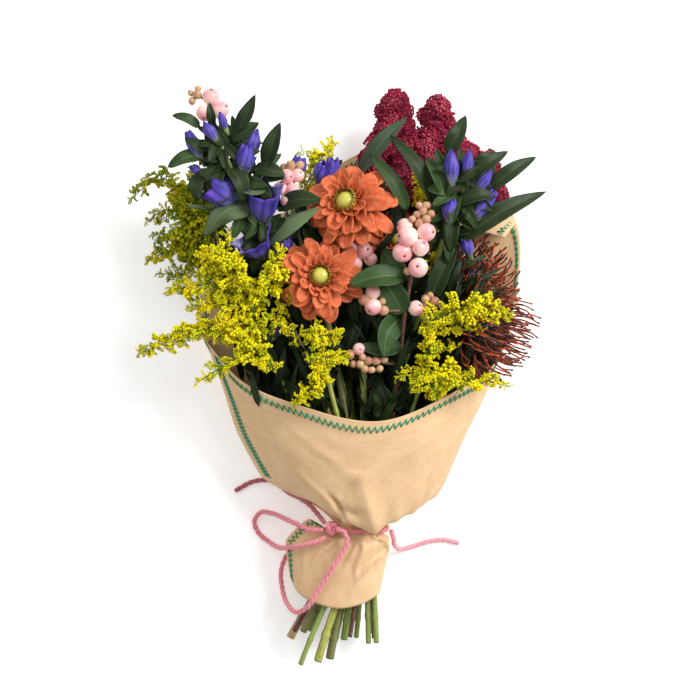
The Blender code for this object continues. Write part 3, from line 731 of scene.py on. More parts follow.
# ---------------------------------------------------------------- stems
# Eighteen cut stems pass through the tie side by side and fan out to their flower heads. Each
# has its own bark: green and ribbed, spotted, tan or woody, with a swelling at every leaf joint
# and a paler pith where it was cut.
STEMS = {
    "stem_goldenrod_left": (
        [(-41, -236, 20), (10.2, -134, 35), (-108, 84, 44)], (4.0, 2.6, 2.0), "tan"),
    "stem_snowberry_tip": (
        [(-37, -229, 29), (8.6, -134, 41.5), (-107, 228, 62)], (2.4, 2.2, 1.6), "woody"),
    "stem_gentian_left": ([(-29, -228, 36), (9, -134, 48.5), (-53, 92, 79)], (3.4, 2.8, 2.4), "olive"),
    "stem_goldenrod_front_left": (
        [(-31, -256, 45), (9.8, -134, 54.8), (-58, 22, 80)], (2.4, 2.3, 2.0), "green"),
    "stem_goldenrod_back": (
        [(-24, -231, 13), (16.5, -134, 33.5), (-32, 158, 56)], (2.4, 2.3, 1.8), "green"),
    "stem_snowberry_back": (
        [(-21, -231, 22), (15.6, -134, 41), (-37, 152, 90)], (2.4, 2.2, 1.7), "green"),
    "stem_dahlia_front": ([(-5, -252, 37), (16, -134, 48.3), (-11, 85, 91)], (4.0, 3.3, 3.0), "olive"),
    "stem_goldenrod_front": (
        [(-15.5, -253, 46), (16.8, -134, 55.6), (-8, 14, 98)], (3.9, 2.8, 2.2), "spotted"),
    "stem_gentian_back": ([(-2, -236, 13), (22, -134, 35.5), (-4, 176, 62)], (2.8, 2.6, 2.0), "olive"),
    "stem_dahlia_low": ([(0, -235, 22), (22, -134, 43.5), (52, 122, 51)], (3.2, 3.1, 2.8), "green"),
    "stem_dahlia_back": ([(8, -235, 36), (22.6, -134, 52), (20, 138, 86)], (3.4, 3.3, 3.0), "green"),
    "stem_amaranth": ([(12, -231, 11), (29.4, -134, 33.5), (78, 126, 30)], (3.6, 3.4, 3.4), "red"),
    "stem_goldenrod_middle": (
        [(19, -236, 20), (29.4, -134, 41), (80, 74, 62)], (2.4, 2.3, 1.9), "green"),
    "stem_gentian_right": (
        [(30, -239, 33), (29.2, -134, 48.5), (96, 130, 98)], (2.6, 2.6, 2.2), "green"),
    "stem_snowberry_top": (
        [(13.3, -231, 46), (29, -134, 56), (55, -4, 86), (60, 52, 104), (66, 92, 114)],
        (2.0, 2.2, 2.2, 2.0, 1.8), "woody"),
    "stem_pincushion_back": (
        [(31, -233, 14), (36.6, -134, 37.5), (104, 66, 38)], (2.6, 2.7, 3.0), "woody"),
    "stem_pincushion_front": (
        [(35, -236, 24), (37, -134, 45), (112, 18, 64)], (2.0, 2.6, 3.2), "woody"),
    "stem_goldenrod_right": (
        [(37, -238, 36), (35.8, -134, 53.3), (75, -4, 86)], (2.6, 2.4, 2.0), "green"),
}
STEM_RING = 2.2 * MM
STEM_JOINTS = 12
STEM_BARKS = {
    # kind: colour, streaks along it, spots
    "tan": ((0.6, 0.45, 0.22), (0.36, 0.25, 0.1), (0.2, 0.1, 0.05)),
    "woody": ((0.13, 0.05, 0.03), (0.06, 0.022, 0.014), (0.26, 0.14, 0.09)),
    "green": ((0.27, 0.36, 0.075), (0.15, 0.22, 0.04), (0.2, 0.13, 0.05)),
    "olive": ((0.2, 0.2, 0.06), (0.1, 0.1, 0.03), (0.16, 0.08, 0.04)),
    "spotted": ((0.42, 0.43, 0.09), (0.24, 0.27, 0.05), (0.15, 0.05, 0.03)),
    "red": ((0.3, 0.05, 0.05), (0.13, 0.02, 0.025), (0.35, 0.14, 0.08)),
}


def bark(kind):
    """Stem skin: streaks that run along it and small spots across it."""
    colour, streak, spots = STEM_BARKS[kind]
    made, tree, shader = new_material("bark_" + kind, 0.5)
    lines = add_streaks(tree, own_uv(tree), (9, 4, 1), 3.0)
    dots = add_node(tree, "ShaderNodeTexVoronoi", Vector=object_place(tree), Scale=260.0)
    streaked = add_ramp(tree, lines, (0.38, streak), (0.6, colour))
    near = add_ramp(tree, dots.outputs["Distance"], (0.1, (1, 1, 1)), (0.24, (0, 0, 0)))
    spotted = add_mix(tree, streaked, (*spots, 1), near, "MIX")
    paint(tree, shader, spotted, lines, 0.25 * MM, 0.6)
    return made


STEM_LOOKS = {kind: bark(kind) for kind in STEM_BARKS}
PITH = mottled("cut_pith", (0.5, 0.5, 0.25), (0.62, 0.58, 0.36), 0.0015, 0.7)
for stem_number, (stem_name, (through, radii, kind)) in enumerate(STEMS.items()):
    centres = even_points(in_metres(through), STEM_RING)
    length = STEM_RING * (len(centres) - 1)
    girth = [Vector((r * MM, 0, 0)) for r in radii]
    joints = [0.022 + 0.031 * n + 0.004 * math.sin(3 * stem_number + 5 * n)
              for n in range(STEM_JOINTS)]
    ribs = 5 if kind in ("green", "olive") else 3

    def stem_reach(turn, t):
        swell = sum(math.exp(-((t * length - joint) / (2.2 * MM)) ** 2) for joint in joints)
        rough = 0.05 * noise.noise(Vector((math.cos(turn), math.sin(turn), t * length * 90)))
        lobed = 0.97 + 0.035 * math.cos(ribs * turn)
        return smooth_point(girth, t).x * (lobed + 0.22 * swell + rough)

    stem_bm = bmesh.new()
    skin_line(stem_bm, centres, 14, stem_reach)
    caps = [f for f in stem_bm.faces if len(f.verts) > 4]
    for cap in caps:
        bmesh.ops.inset_region(stem_bm, faces=[cap], thickness=0.22 * radii[0] * MM, depth=-0.25 * MM)
        cap.material_index = 1
    piece(stem_name + "_bark", stem_bm, [STEM_LOOKS[kind], PITH], "stem_" + kind, stem_name)


# ---------------------------------------------------------------- leaves among the stems
# Goldenrod carries narrow leaves up its whole stem and snowberry has small oval ones. Inside
# the wrap they fill the room between the stems, so the mouth looks dark and green: their
# colour is darkened with painted shade of the inside of the wrap, on both faces.
LEAF_ROWS = 11
LEAF_THICK = 0.35 * MM


def leaf_outline(t, blunt):
    """How wide a leaf is at a share of its length, 1 at its widest. A blunt one is oval."""
    rise = 0.55 - 0.15 * blunt
    fall = 0.85 - 0.25 * blunt
    peak = rise / (rise + fall)
    top = peak ** rise * (1 - peak) ** fall
    return t ** rise * (1 - t) ** fall / top


def tone_of(bm):
    """The mesh's own shade for each face, read by the leaf and petal looks."""
    return bm.faces.layers.float.get("tone") or bm.faces.layers.float.new("tone")


def leaf_blade(bm, path, width, facing, fold=0.3, blunt=0.0, wave=0.0, look=0, across=6,
               rows=LEAF_ROWS):
    """A pointed blade along the path, folded along its midrib, with its upper side to facing."""
    bm.loops.layers.uv.verify()
    tone = tone_of(bm)
    made = bmesh.ops.create_grid(bm, x_segments=across, y_segments=rows, size=1, calc_uvs=True)
    for vert in made["verts"]:
        x = vert.co.x
        t = (vert.co.y + 1) / 2
        place = smooth_point(path, t)
        ahead = (smooth_point(path, t + 0.03) - smooth_point(path, t - 0.03)).normalized()
        side = ahead.cross(facing).normalized()
        up = side.cross(ahead)
        half = width / 2 * leaf_outline(t, blunt)
        ripple = wave * width * math.sin(7 * t + (1.3 if x > 0 else 4.0)) * abs(x) * 0.5
        lift = fold * half * abs(x) ** 1.4 + ripple
        vert.co = place + side * x * half * (1 - 0.15 * fold) + up * lift
    bmesh.ops.remove_doubles(bm, verts=made["verts"], dist=0.005 * MM)
    shade = noise.cell(Vector(path[0]) / MM)
    for face in faces_of(made["verts"]):
        face.material_index = look
        face[tone] = shade


def build_veins():
    """A leaf's midrib and side veins, drawn in its own UV map: U across it, V along it."""
    tree, given, result = new_group(
        "leaf_veins",
        [("Blade", COLOUR, (0.05, 0.1, 0.03, 1)), ("Vein", COLOUR, (0.2, 0.3, 0.1, 1)),
         ("Count", FLOAT, 9.0), ("Slant", FLOAT, 0.7)],
        [("Colour", COLOUR), ("Height", FLOAT)])
    across, along = axes_of(tree, own_uv(tree))
    out = add_math(tree, "ABSOLUTE", add_math(tree, "SUBTRACT", across, 0.5))
    rib = add_range(tree, out, 0.012, 0.05, 1.0, 0.0)
    slanted = add_math(tree, "MULTIPLY", out, given.outputs["Slant"])
    many = add_math(tree, "MULTIPLY", add_math(tree, "SUBTRACT", along, slanted),
                    given.outputs["Count"])
    side = add_range(tree, add_math(tree, "PINGPONG", many, 0.5), 0.02, 0.09, 0.45, 0.0)
    lines = add_math(tree, "MAXIMUM", rib, side)
    patches = add_noise(tree, object_place(tree), 90.0, 3.0)
    light = add_range(tree, patches, 0.3, 0.7, 0.0, 0.28)
    varied = add_mix(tree, given.outputs["Blade"], given.outputs["Vein"], light, "MIX")
    veined = add_mix(tree, varied, given.outputs["Vein"], lines, "MIX")
    tone = add_node(tree, "ShaderNodeAttribute", attribute_name="tone").outputs["Fac"]
    value = add_range(tree, tone, 0.0, 1.0, 0.62, 1.5)
    toned = add_node(tree, "ShaderNodeHueSaturation", Value=value, Color=veined)
    tree.links.new(toned.outputs[0], result.inputs["Colour"])
    tree.links.new(add_math(tree, "MULTIPLY", lines, -1.0), result.inputs["Height"])
    return tree


VEINS = build_veins()


def leaf_look(name, blade, vein, count=9.0, slant=0.9, roughness=0.48):
    made, tree, shader = new_material(name, roughness, Specular_IOR_Level=0.25)
    pattern = use_group(tree, VEINS, Blade=(*blade, 1), Vein=(*vein, 1), Count=count, Slant=slant)
    paint(tree, shader, pattern.outputs["Colour"], pattern.outputs["Height"], 0.25 * MM, 0.7)
    return made


LEAF_TOP = leaf_look("leaf_top", (0.017, 0.038, 0.008), (0.058, 0.1, 0.026))
LEAF_UNDER = leaf_look("leaf_under", (0.11, 0.17, 0.07), (0.19, 0.26, 0.13), roughness=0.6)
# a very dark green on both faces: the leaves' own green darkened with painted shade of the inside of the
# wrap
NARROW_TOP_SHADED = leaf_look("narrow_leaf_top", (0.008, 0.02, 0.003), (0.022, 0.044, 0.008))
NARROW_UNDER_SHADED = leaf_look("narrow_leaf_under", (0.013, 0.026, 0.006), (0.027, 0.047, 0.012))


def within_wrap(place):
    """Whether a place, in millimetres, is between the stems and the paper."""
    room = (114 + 0.28 * place.y) * (0.62 + 0.38 * min(1.0, place.z / 45))
    return abs(place.x - 18) < room and place.z > 6


rng = random.Random(23)
FOLIAGE = {
    # name: how many, length and width of a leaf, bluntness, what it fills: centre and half size
    "goldenrod_leaves": (460, (30, 58), (6, 10), 0.0, (12, 40, 54), (112, 92, 36)),
    "left_plume_leaves": (64, (16, 28), (4, 7), 0.0, (-113, 132, 32), (17, 42, 8)),
    "snowberry_leaves": (150, (24, 38), (13, 19), 0.8, (16, 54, 52), (108, 94, 34)),
}
for leaves_name, (count, lengths, widths, blunt, centre, half) in FOLIAGE.items():
    foliage_bm = bmesh.new()
    inside = leaves_name != "left_plume_leaves"
    planted = 0
    while planted < count:
        where = any_way(rng)
        if math.hypot(where.x, where.y) > 1:
            continue
        foot = Vector([c + h * w for c, h, w in zip(centre, half, where)])
        if inside:
            foot.z = max(foot.z, 16 + 0.25 * abs(foot.x))
        fan = math.radians(90 - (foot.x - 14) * 0.42 + rng.uniform(-42, 42))
        rise = math.radians(rng.uniform(-18, 26))
        away = Vector((math.cos(fan) * math.cos(rise), math.sin(fan) * math.cos(rise), math.sin(rise)))
        length = rng.uniform(*lengths)
        droop = Vector((0, 0, -rng.uniform(0.05, 0.3) * length))
        line = [foot, foot + away * length * 0.5 - droop * 0.5, foot + away * length + droop]
        if inside and not all(map(within_wrap, line)):
            continue
        planted += 1
        path = in_metres(line)
        tilt = (UP + Vector((rng.uniform(-0.8, 0.8), rng.uniform(-0.8, 0.8), 0))).normalized()
        leaf_blade(foliage_bm, path, rng.uniform(*widths) * MM, tilt, 0.35, blunt, 0.08,
                   across=4, rows=8)
    give_wall(piece(leaves_name, foliage_bm, [NARROW_TOP_SHADED, NARROW_UNDER_SHADED], "leaf_green"), LEAF_THICK, 1)


# ---------------------------------------------------------------- dahlias
# Three coral double dahlias. Each has sixty-five petals in seven rings: the outer ones long and
# laid back, the inner ones short, rolled and upright round a tight yellow-green button.
DAHLIA_RINGS = [
    # petals, length as a share of the bloom, width, rise at the foot, rise at the tip, cup
    (9, 1.03, 0.40, -2, -26, 0.35),
    (9, 0.97, 0.40, 8, -14, 0.5),
    (10, 0.88, 0.37, 19, 0, 0.6),
    (10, 0.76, 0.32, 32, 14, 0.75),
    (9, 0.62, 0.27, 45, 34, 0.9),
    (9, 0.48, 0.21, 58, 54, 1.05),
    (9, 0.36, 0.15, 72, 80, 1.2),
]
DAHLIAS = {
    # centre of the bloom, where it faces, radius
    "dahlia_back": ((11, 152, 114), (-0.3, 0.34, 0.9), 42.5),
    "dahlia_front": ((-12, 89, 115), (0.03, 0.13, 1), 39),
    "dahlia_low": ((53, 124, 74), (0.3, 0.1, 0.95), 30),
}
SPINE_STEPS = 24
BUTTON_SCALES = 34


def petal_look():
    """Coral petals: redder at the foot and darkened there with painted shade deep in the bloom,
    orange towards the tip, with fine lines along them.
    """
    made, tree, shader = new_material(
        "dahlia_petal", 0.62, Subsurface_Weight=0.08, Subsurface_Radius=(0.004, 0.0015, 0.0008),
        Subsurface_Scale=1.0, Specular_IOR_Level=0.12)
    uv = own_uv(tree)
    # the darkest stops at the foot of each petal are painted shade deep between the petals; the red is the
    # petal's own
    body = add_ramp(tree, axes_of(tree, uv)[1], (0.0, (0.15, 0.009, 0.004)), (0.34, (0.4, 0.032, 0.007)),
                    (0.7, (0.64, 0.088, 0.009)), (1.0, (0.78, 0.165, 0.024)))
    streak = add_streaks(tree, uv, (13, 1.2, 1), 2.0)
    patch = add_noise(tree, object_place(tree), 85.0, 2.0)
    tint = add_ramp(tree, patch, (0.35, (0.8, 0.62, 0.6)), (0.55, (1, 1, 1)), (0.72, (1.0, 1.2, 0.9)))
    fine = add_ramp(tree, streak, (0.35, (0.8, 0.72, 0.72)), (0.6, (1, 1, 1)))
    tone = add_node(tree, "ShaderNodeAttribute", attribute_name="tone").outputs["Fac"]
    each = add_ramp(tree, tone, (0.0, (0.62, 0.42, 0.62)), (0.45, (0.95, 0.85, 0.9)),
                    (1.0, (1.08, 1.5, 1.3)))
    lined = add_mix(tree, add_mix(tree, body, tint), fine, 0.8)
    paint(tree, shader, add_mix(tree, lined, each), streak, 0.2 * MM, 0.6)
    return made


PETAL = petal_look()
PETAL_BACK = mottled("dahlia_petal_back", (0.58, 0.1, 0.03), (0.62, 0.17, 0.07), 0.004, 0.65,
                     Specular_IOR_Level=0.2)
BUTTON = mottled("dahlia_button", (0.42, 0.44, 0.05), (0.6, 0.5, 0.09), 0.003, 0.35)
SCALE = mottled("dahlia_scale", (0.3, 0.16, 0.03), (0.45, 0.3, 0.05), 0.003, 0.5)
CALYX = mottled("dahlia_calyx", (0.06, 0.13, 0.03), (0.12, 0.2, 0.05), 0.004, 0.5)


def dahlia_petal(bm, ring, spin, radius, rng):
    """One petal of a ring, at an angle round the bloom, as a rolled and cupped blade."""
    length, width, rise_a, rise_b, cup = ring[1:]
    length *= radius * rng.uniform(0.82, 1.05)
    width *= radius * rng.uniform(0.82, 1.12)
    rise_b += rng.uniform(-15, 12)
    twist = rng.uniform(-0.45, 0.45)
    sway = rng.uniform(-0.16, 0.16) * length
    shade = rng.random()
    bm.loops.layers.uv.verify()
    tone = tone_of(bm)
    made = bmesh.ops.create_grid(bm, x_segments=8, y_segments=10, size=1, calc_uvs=True)
    around = Matrix.Rotation(spin, 3, "Z")
    inner = radius * (0.05 + 0.16 * math.sin(math.radians(max(rise_a, 0))))
    spine = [Vector((inner, 0, -0.12 * radius + 0.012 * radius * rise_a / 10))]
    for k in range(SPINE_STEPS):
        rise = math.radians(rise_a + (rise_b - rise_a) * k / (SPINE_STEPS - 1))
        step = Vector((math.cos(rise), 0, math.sin(rise))) * (length - inner * 0.7) / SPINE_STEPS
        spine.append(spine[-1] + step + Vector((0, sway * 2 * k / SPINE_STEPS / SPINE_STEPS, 0)))
    for vert in made["verts"]:
        x = vert.co.x
        t = 1 - (1 - (vert.co.y + 1) / 2) ** 1.6
        place = smooth_point(spine, t)
        ahead = (smooth_point(spine, t + 0.04) - smooth_point(spine, t - 0.04)).normalized()
        side = Vector((0, 1, 0))
        up = ahead.cross(side)
        if up.z < 0 and rise_a < 60:
            up = -up
        half = width / 2 * (0.36 + 0.64 * math.sin(min(t / 0.66, 1.0) * math.pi / 2) ** 1.4)
        if t > 0.66:
            half *= math.sqrt(max(0.0, 1 - ((t - 0.66) / 0.34) ** 2.6))
        curl = cup * half * abs(x) ** 1.7 * (1.2 - 0.95 * t)
        groove = 0.09 * half * math.cos(3 * math.pi * x)
        vert.co = around @ (place + side * (x * half * (1 - 0.25 * cup * (1 - t)))
                            + up * (curl + groove + twist * x * half))
    bmesh.ops.remove_doubles(bm, verts=made["verts"], dist=0.01 * MM)
    for face in faces_of(made["verts"]):
        face[tone] = shade


rng = random.Random(7)
for dahlia_name, (centre, facing, radius) in DAHLIAS.items():
    radius *= MM
    bloom_bm = bmesh.new()
    for number, ring in enumerate(DAHLIA_RINGS):
        for k in range(ring[0]):
            spin = 2 * math.pi * (k + 0.5 * (number % 2)) / ring[0] + rng.uniform(-0.15, 0.15)
            dahlia_petal(bloom_bm, ring, spin, radius, rng)
    tilt = Matrix.Translation(Vector(centre) * MM) @ Vector(facing).to_track_quat(
        "Z", "Y").to_matrix().to_4x4()
    bmesh.ops.transform(bloom_bm, matrix=tilt, verts=bloom_bm.verts)
    bloom = piece(dahlia_name + "_petals", bloom_bm, [PETAL, PETAL_BACK], "dahlia_petals", dahlia_name)
    give_wall(bloom, LEAF_THICK, 1)

    heart_bm = bmesh.new()
    bmesh.ops.create_uvsphere(heart_bm, u_segments=20, v_segments=12, radius=0.2 * radius)
    for vert in heart_bm.verts:
        angle = math.atan2(vert.co.y, vert.co.x)
        out = math.hypot(vert.co.x, vert.co.y) / (0.2 * radius)
        vert.co *= 1 + 0.06 * math.cos(10 * angle + 30 * out) * out
        vert.co.z = vert.co.z * 0.85 + 0.09 * radius
    for k in range(BUTTON_SCALES):
        spin = k * math.radians(137.5)
        lean = 0.2 + 0.5 * (k / BUTTON_SCALES)
        away = Vector((math.cos(spin), math.sin(spin), 0))
        foot = away * 0.19 * radius
        tip = away * 0.2 * radius * (1.15 - lean * 0.4) + UP * (0.3 - 0.06 * lean) * radius
        mid = (foot + tip) / 2 + away * 0.045 * radius
        leaf_blade(heart_bm, [foot, mid, tip], 0.1 * radius, away, 0.5, 0.6, look=1, across=2, rows=4)
    bmesh.ops.create_cone(heart_bm, segments=20, radius1=0.08 * radius, radius2=0.3 * radius,
                          depth=0.3 * radius, cap_ends=True,
                          matrix=Matrix.Translation((0, 0, -0.42 * radius)))
    for face in heart_bm.faces:
        if face.calc_center_median().z < -0.2 * radius:
            face.material_index = 2
    bmesh.ops.transform(heart_bm, matrix=tilt, verts=heart_bm.verts)
    piece(dahlia_name + "_button", heart_bm, [BUTTON, SCALE, CALYX], "dahlia_petals")


# ---------------------------------------------------------------- gentians
# Closed gentians: stiff stems with pairs of pointed leaves, dark above and pale below, and
# blue-violet bells that stand in the leaf joints. Some bells are still furled buds.
GENTIAN_LEAVES = {
    # path from foot to tip, width, how the upper side leans: x and y against z
    "gentian_left": [
        ([(-115, 217, 116), (-126, 223, 122), (-138, 226, 120)], 9, (0, 0.5)),
        ([(-85, 213, 116), (-74, 226, 124), (-67, 244, 122)], 12, (-0.6, 0)),
        ([(-88, 206, 116), (-76, 212, 122), (-64, 220, 120)], 11, (0, 0.3)),
        ([(-60, 183, 110), (-53, 200, 120), (-46, 221, 118)], 14, (-0.5, 0)),
        ([(-115, 193, 110), (-128, 190, 116), (-143, 183, 108)], 12, (0, 0.4)),
        ([(-69, 183, 108), (-55, 180, 116), (-42, 176, 112)], 12, (0, 0.3)),
        ([(-116, 178, 106), (-118, 165, 110), (-118, 155, 104)], 13, (-0.4, 0)),
        ([(-104, 218, 118), (-105, 226, 126), (-106, 236, 126)], 7, (0.2, 0)),
        ([(-110, 196, 112), (-119, 202, 118), (-128, 207, 116)], 8, (0, 0.3)),
        ([(-70, 151, 102), (-91, 146, 114), (-113, 123, 104)], 18, (-0.9, -0.9)),
        ([(-104, 149, 98), (-116, 151, 104), (-128, 151, 100)], 9, (0, -2.0)),
        ([(-59, 118, 96), (-38, 136, 114), (-9, 152, 112)], 18, (0.9, -0.9)),
        ([(-50, 149, 96), (-30, 155, 112), (-9, 154, 114)], 14, (0, 0.3)),
        ([(-32, 140, 92), (-33, 131, 96), (-35, 123, 92)], 7, (1.6, 0)),
        ([(-92, 185, 112), (-80, 169, 118), (-78, 151, 112)], 13, (0.5, 0)),
        ([(-96, 182, 112), (-101, 171, 116), (-104, 160, 110)], 12, (-0.4, 0)),
        ([(-84, 172, 106), (-70, 164, 112), (-58, 164, 106)], 13, (0, -2.4)),
    ],
    "gentian_right": [
        ([(96, 194, 116), (104, 208, 122), (112, 227, 114)], 13, (-0.3, 0)),
        ([(87, 152, 104), (71, 182, 114), (48, 211, 106)], 13, (0.3, 0.3)),
        ([(63, 147, 100), (49, 172, 108), (30, 195, 100)], 13, (0.3, 0.3)),
        ([(96, 158, 110), (88, 175, 116), (78, 191, 112)], 12, (0.4, 0)),
        ([(114, 171, 112), (131, 185, 118), (149, 197, 110)], 11, (0, 0.3)),
        ([(129, 162, 108), (150, 178, 114), (174, 193, 104)], 12, (0, 0.3)),
        ([(105, 120, 98), (140, 143, 110), (184, 164, 96)], 15, (0.2, 0.4)),
        ([(116, 179, 112), (128, 188, 116), (137, 196, 112)], 11, (0, 0.4)),
        ([(104, 151, 110), (122, 158, 118), (140, 158, 112)], 12, (0, 0.5)),
        ([(102, 136, 104), (113, 143, 112), (123, 129, 106)], 11, (0, 0.5)),
        ([(103, 172, 112), (112, 174, 120), (122, 183, 120)], 8, (0, 0.4)),
        ([(96, 180, 112), (90, 188, 118), (87, 198, 118)], 8, (-0.4, 0)),
    ],
    "gentian_back": [
        ([(-8, 182, 70), (2, 180, 74), (14, 184, 72)], 8, (0, 0.3)),
    ],
}
GENTIAN_BELLS = {
    # foot, tip, radius, how open: 0 a furled bud, 1 an open trumpet
    "gentian_left": [
        ((-114, 189, 108), (-126, 214, 114), 6, 0.2),
        ((-100, 204, 118), (-111, 220, 126), 5, 0.0),
        ((-92, 213, 118), (-97, 228, 128), 3.6, 0.0),
        ((-74, 190, 106), (-68, 216, 114), 7.5, 0.25),
        ((-78, 176, 108), (-74, 202, 120), 8, 0.3),
        ((-82, 156, 100), (-110, 168, 112), 13.5, 0.55),
        ((-63, 138, 93), (-60, 165, 117), 12.5, 0.85),
        ((-63, 108, 90), (-72, 124, 104), 13, 1.0),
        ((-45, 110, 90), (-42, 125, 98), 7, 0.3),
        ((-114, 179, 106), (-125, 184, 108), 4, 0.0),
        ((-34, 178, 88), (-29, 194, 92), 7, 0.4),
        ((-51, 38, 76), (-47, 58, 86), 8, 0.3),
    ],
    "gentian_right": [
        ((101, 166, 112), (99, 197, 124), 6.5, 0.0),
        ((113, 172, 112), (115, 197, 122), 5, 0.0),
        ((121, 160, 110), (134, 181, 120), 5.5, 0.0),
        ((98, 136, 104), (101, 156, 114), 7.5, 0.15),
        ((115, 136, 102), (138, 163, 112), 7.5, 0.2),
        ((118, 108, 92), (112, 123, 102), 5.5, 0.3),
    ],
    "gentian_back": [
        ((-4, 165, 70), (-1, 194, 84), 8, 0.35),
        ((-14, 172, 70), (-8, 190, 82), 8, 0.4),
    ],
}
GENTIAN_STALKS = {
    "gentian_left": [(-53, 93, 79), (-66, 128, 92), (-82, 168, 108), (-96, 200, 116)],
    "gentian_right": [(96, 131, 98), (100, 152, 104), (108, 176, 112)],
    "gentian_back": [(-4, 177, 62), (-6, 184, 68), (-6, 186, 74)],
}
GENTIAN_WHORLS = {
    # joint on the stem, number of leaves round it, their shortest and longest
    "gentian_left": [
        ((-55, 96, 80), 7, 18, 30), ((-66, 122, 90), 8, 20, 34), ((-62, 140, 94), 8, 20, 34),
        ((-76, 152, 98), 9, 22, 36), ((-84, 172, 104), 9, 22, 36), ((-98, 176, 100), 8, 20, 32),
        ((-70, 176, 98), 7, 20, 32), ((-90, 192, 108), 10, 20, 34), ((-98, 206, 112), 9, 16, 28),
        ((-84, 206, 106), 8, 16, 28), ((-108, 200, 102), 7, 14, 24),
    ],
    "gentian_right": [
        ((98, 128, 94), 7, 18, 32), ((101, 146, 100), 9, 20, 36), ((106, 164, 104), 10, 20, 36),
        ((108, 178, 110), 9, 14, 26), ((120, 166, 100), 7, 14, 26),
    ],
    "gentian_back": [((-5, 182, 64), 7, 12, 20)],
}
BELL_SIDES = 30
BELL_ROWS = 14
GENTIAN_LEAF_SCALE = 1.22


def bell_look():
    """Blue-violet corolla: pale and greenish at its foot, dark lines along each fold."""
    made, tree, shader = new_material(
        "gentian_petal", 0.5, Subsurface_Weight=0.08, Subsurface_Radius=(0.001, 0.001, 0.003),
        Specular_IOR_Level=0.3)
    around, along = axes_of(tree, own_uv(tree))
    body = add_ramp(tree, along, (0.0, (0.24, 0.28, 0.26)), (0.22, (0.16, 0.16, 0.36)),
                    (0.5, (0.1, 0.085, 0.37)), (0.85, (0.065, 0.045, 0.32)),
                    (1.0, (0.09, 0.045, 0.38)))
    folds = add_math(tree, "PINGPONG", add_math(tree, "MULTIPLY", around, 10.0), 0.5)
    line = add_ramp(tree, folds, (0.0, (0.3, 0.3, 0.5)), (0.14, (0.85, 0.85, 0.95)),
                    (0.5, (1.25, 1.2, 1.15)))
    patch = add_noise(tree, object_place(tree), 120.0, 3.0)
    tint = add_ramp(tree, patch, (0.32, (0.6, 0.65, 0.8)), (0.5, (1, 1, 1)), (0.7, (1.5, 1.15, 1.1)))
    paint(tree, shader, add_mix(tree, add_mix(tree, body, line), tint), folds, 0.3 * MM, 0.5)
    return made


BELL = bell_look()
BELL_THROAT = mottled("gentian_throat", (0.24, 0.23, 0.42), (0.09, 0.07, 0.34), 0.003, 0.5)
SEPAL = mottled("gentian_sepal", (0.12, 0.2, 0.05), (0.2, 0.26, 0.08), 0.003, 0.5)


def bell_width(t, opening):
    """The bell's radius along it, 1 at its widest: furled ones close to a point at the tip."""
    body = 0.34 + 0.66 * math.sin(min(t / 0.62, 1.0) * math.pi / 2) ** 1.3
    close = max(0.0, (t - 0.62) / 0.38)
    return body * (1 - close ** 1.6 * (1 - opening) * 0.94) + 0.18 * opening * close


def gentian_bell(bm, foot, tip, radius, opening):
    """A folded corolla from foot to tip, with five lobes round its mouth."""
    bm.loops.layers.uv.verify()
    made = bmesh.ops.create_grid(bm, x_segments=BELL_SIDES, y_segments=BELL_ROWS, size=1,
                                 calc_uvs=True)
    ahead = (tip - foot).normalized()
    side = ahead.orthogonal().normalized()
    other = ahead.cross(side)
    length = (tip - foot).length
    for vert in made["verts"]:
        turn = (vert.co.x + 1) * math.pi
        t = (vert.co.y + 1) / 2
        twist = turn + 1.1 * (1 - opening) * max(0.0, t - 0.55)
        lobe = math.cos(5 * turn)
        late = max(0.0, (t - 0.6) / 0.4)
        folded = 1 + 0.09 * lobe * (0.3 + late) + 0.03 * math.cos(10 * turn)
        reach = radius * bell_width(t, opening) * folded
        reach += radius * 0.35 * opening * late ** 2 * max(0.0, lobe)
        away = side * math.cos(twist) + other * math.sin(twist)
        along = length * (t * 0.86 + 0.14 * late ** 1.5 * (0.4 + 0.6 * lobe) * (0.4 + 0.6 * opening)
                          + 0.14 * late * (1 - opening) * 0.6)
        vert.co = foot + ahead * along + away * reach
    bmesh.ops.remove_doubles(bm, verts=made["verts"], dist=0.004 * MM)
    faces = faces_of(made["verts"])
    bmesh.ops.recalc_face_normals(bm, faces=faces)
    outside = sum(1 if (f.calc_center_median() - foot - ahead * length * 0.4).dot(f.normal) > 0 else -1
                  for f in faces)
    if outside < 0:
        bmesh.ops.reverse_faces(bm, faces=faces)


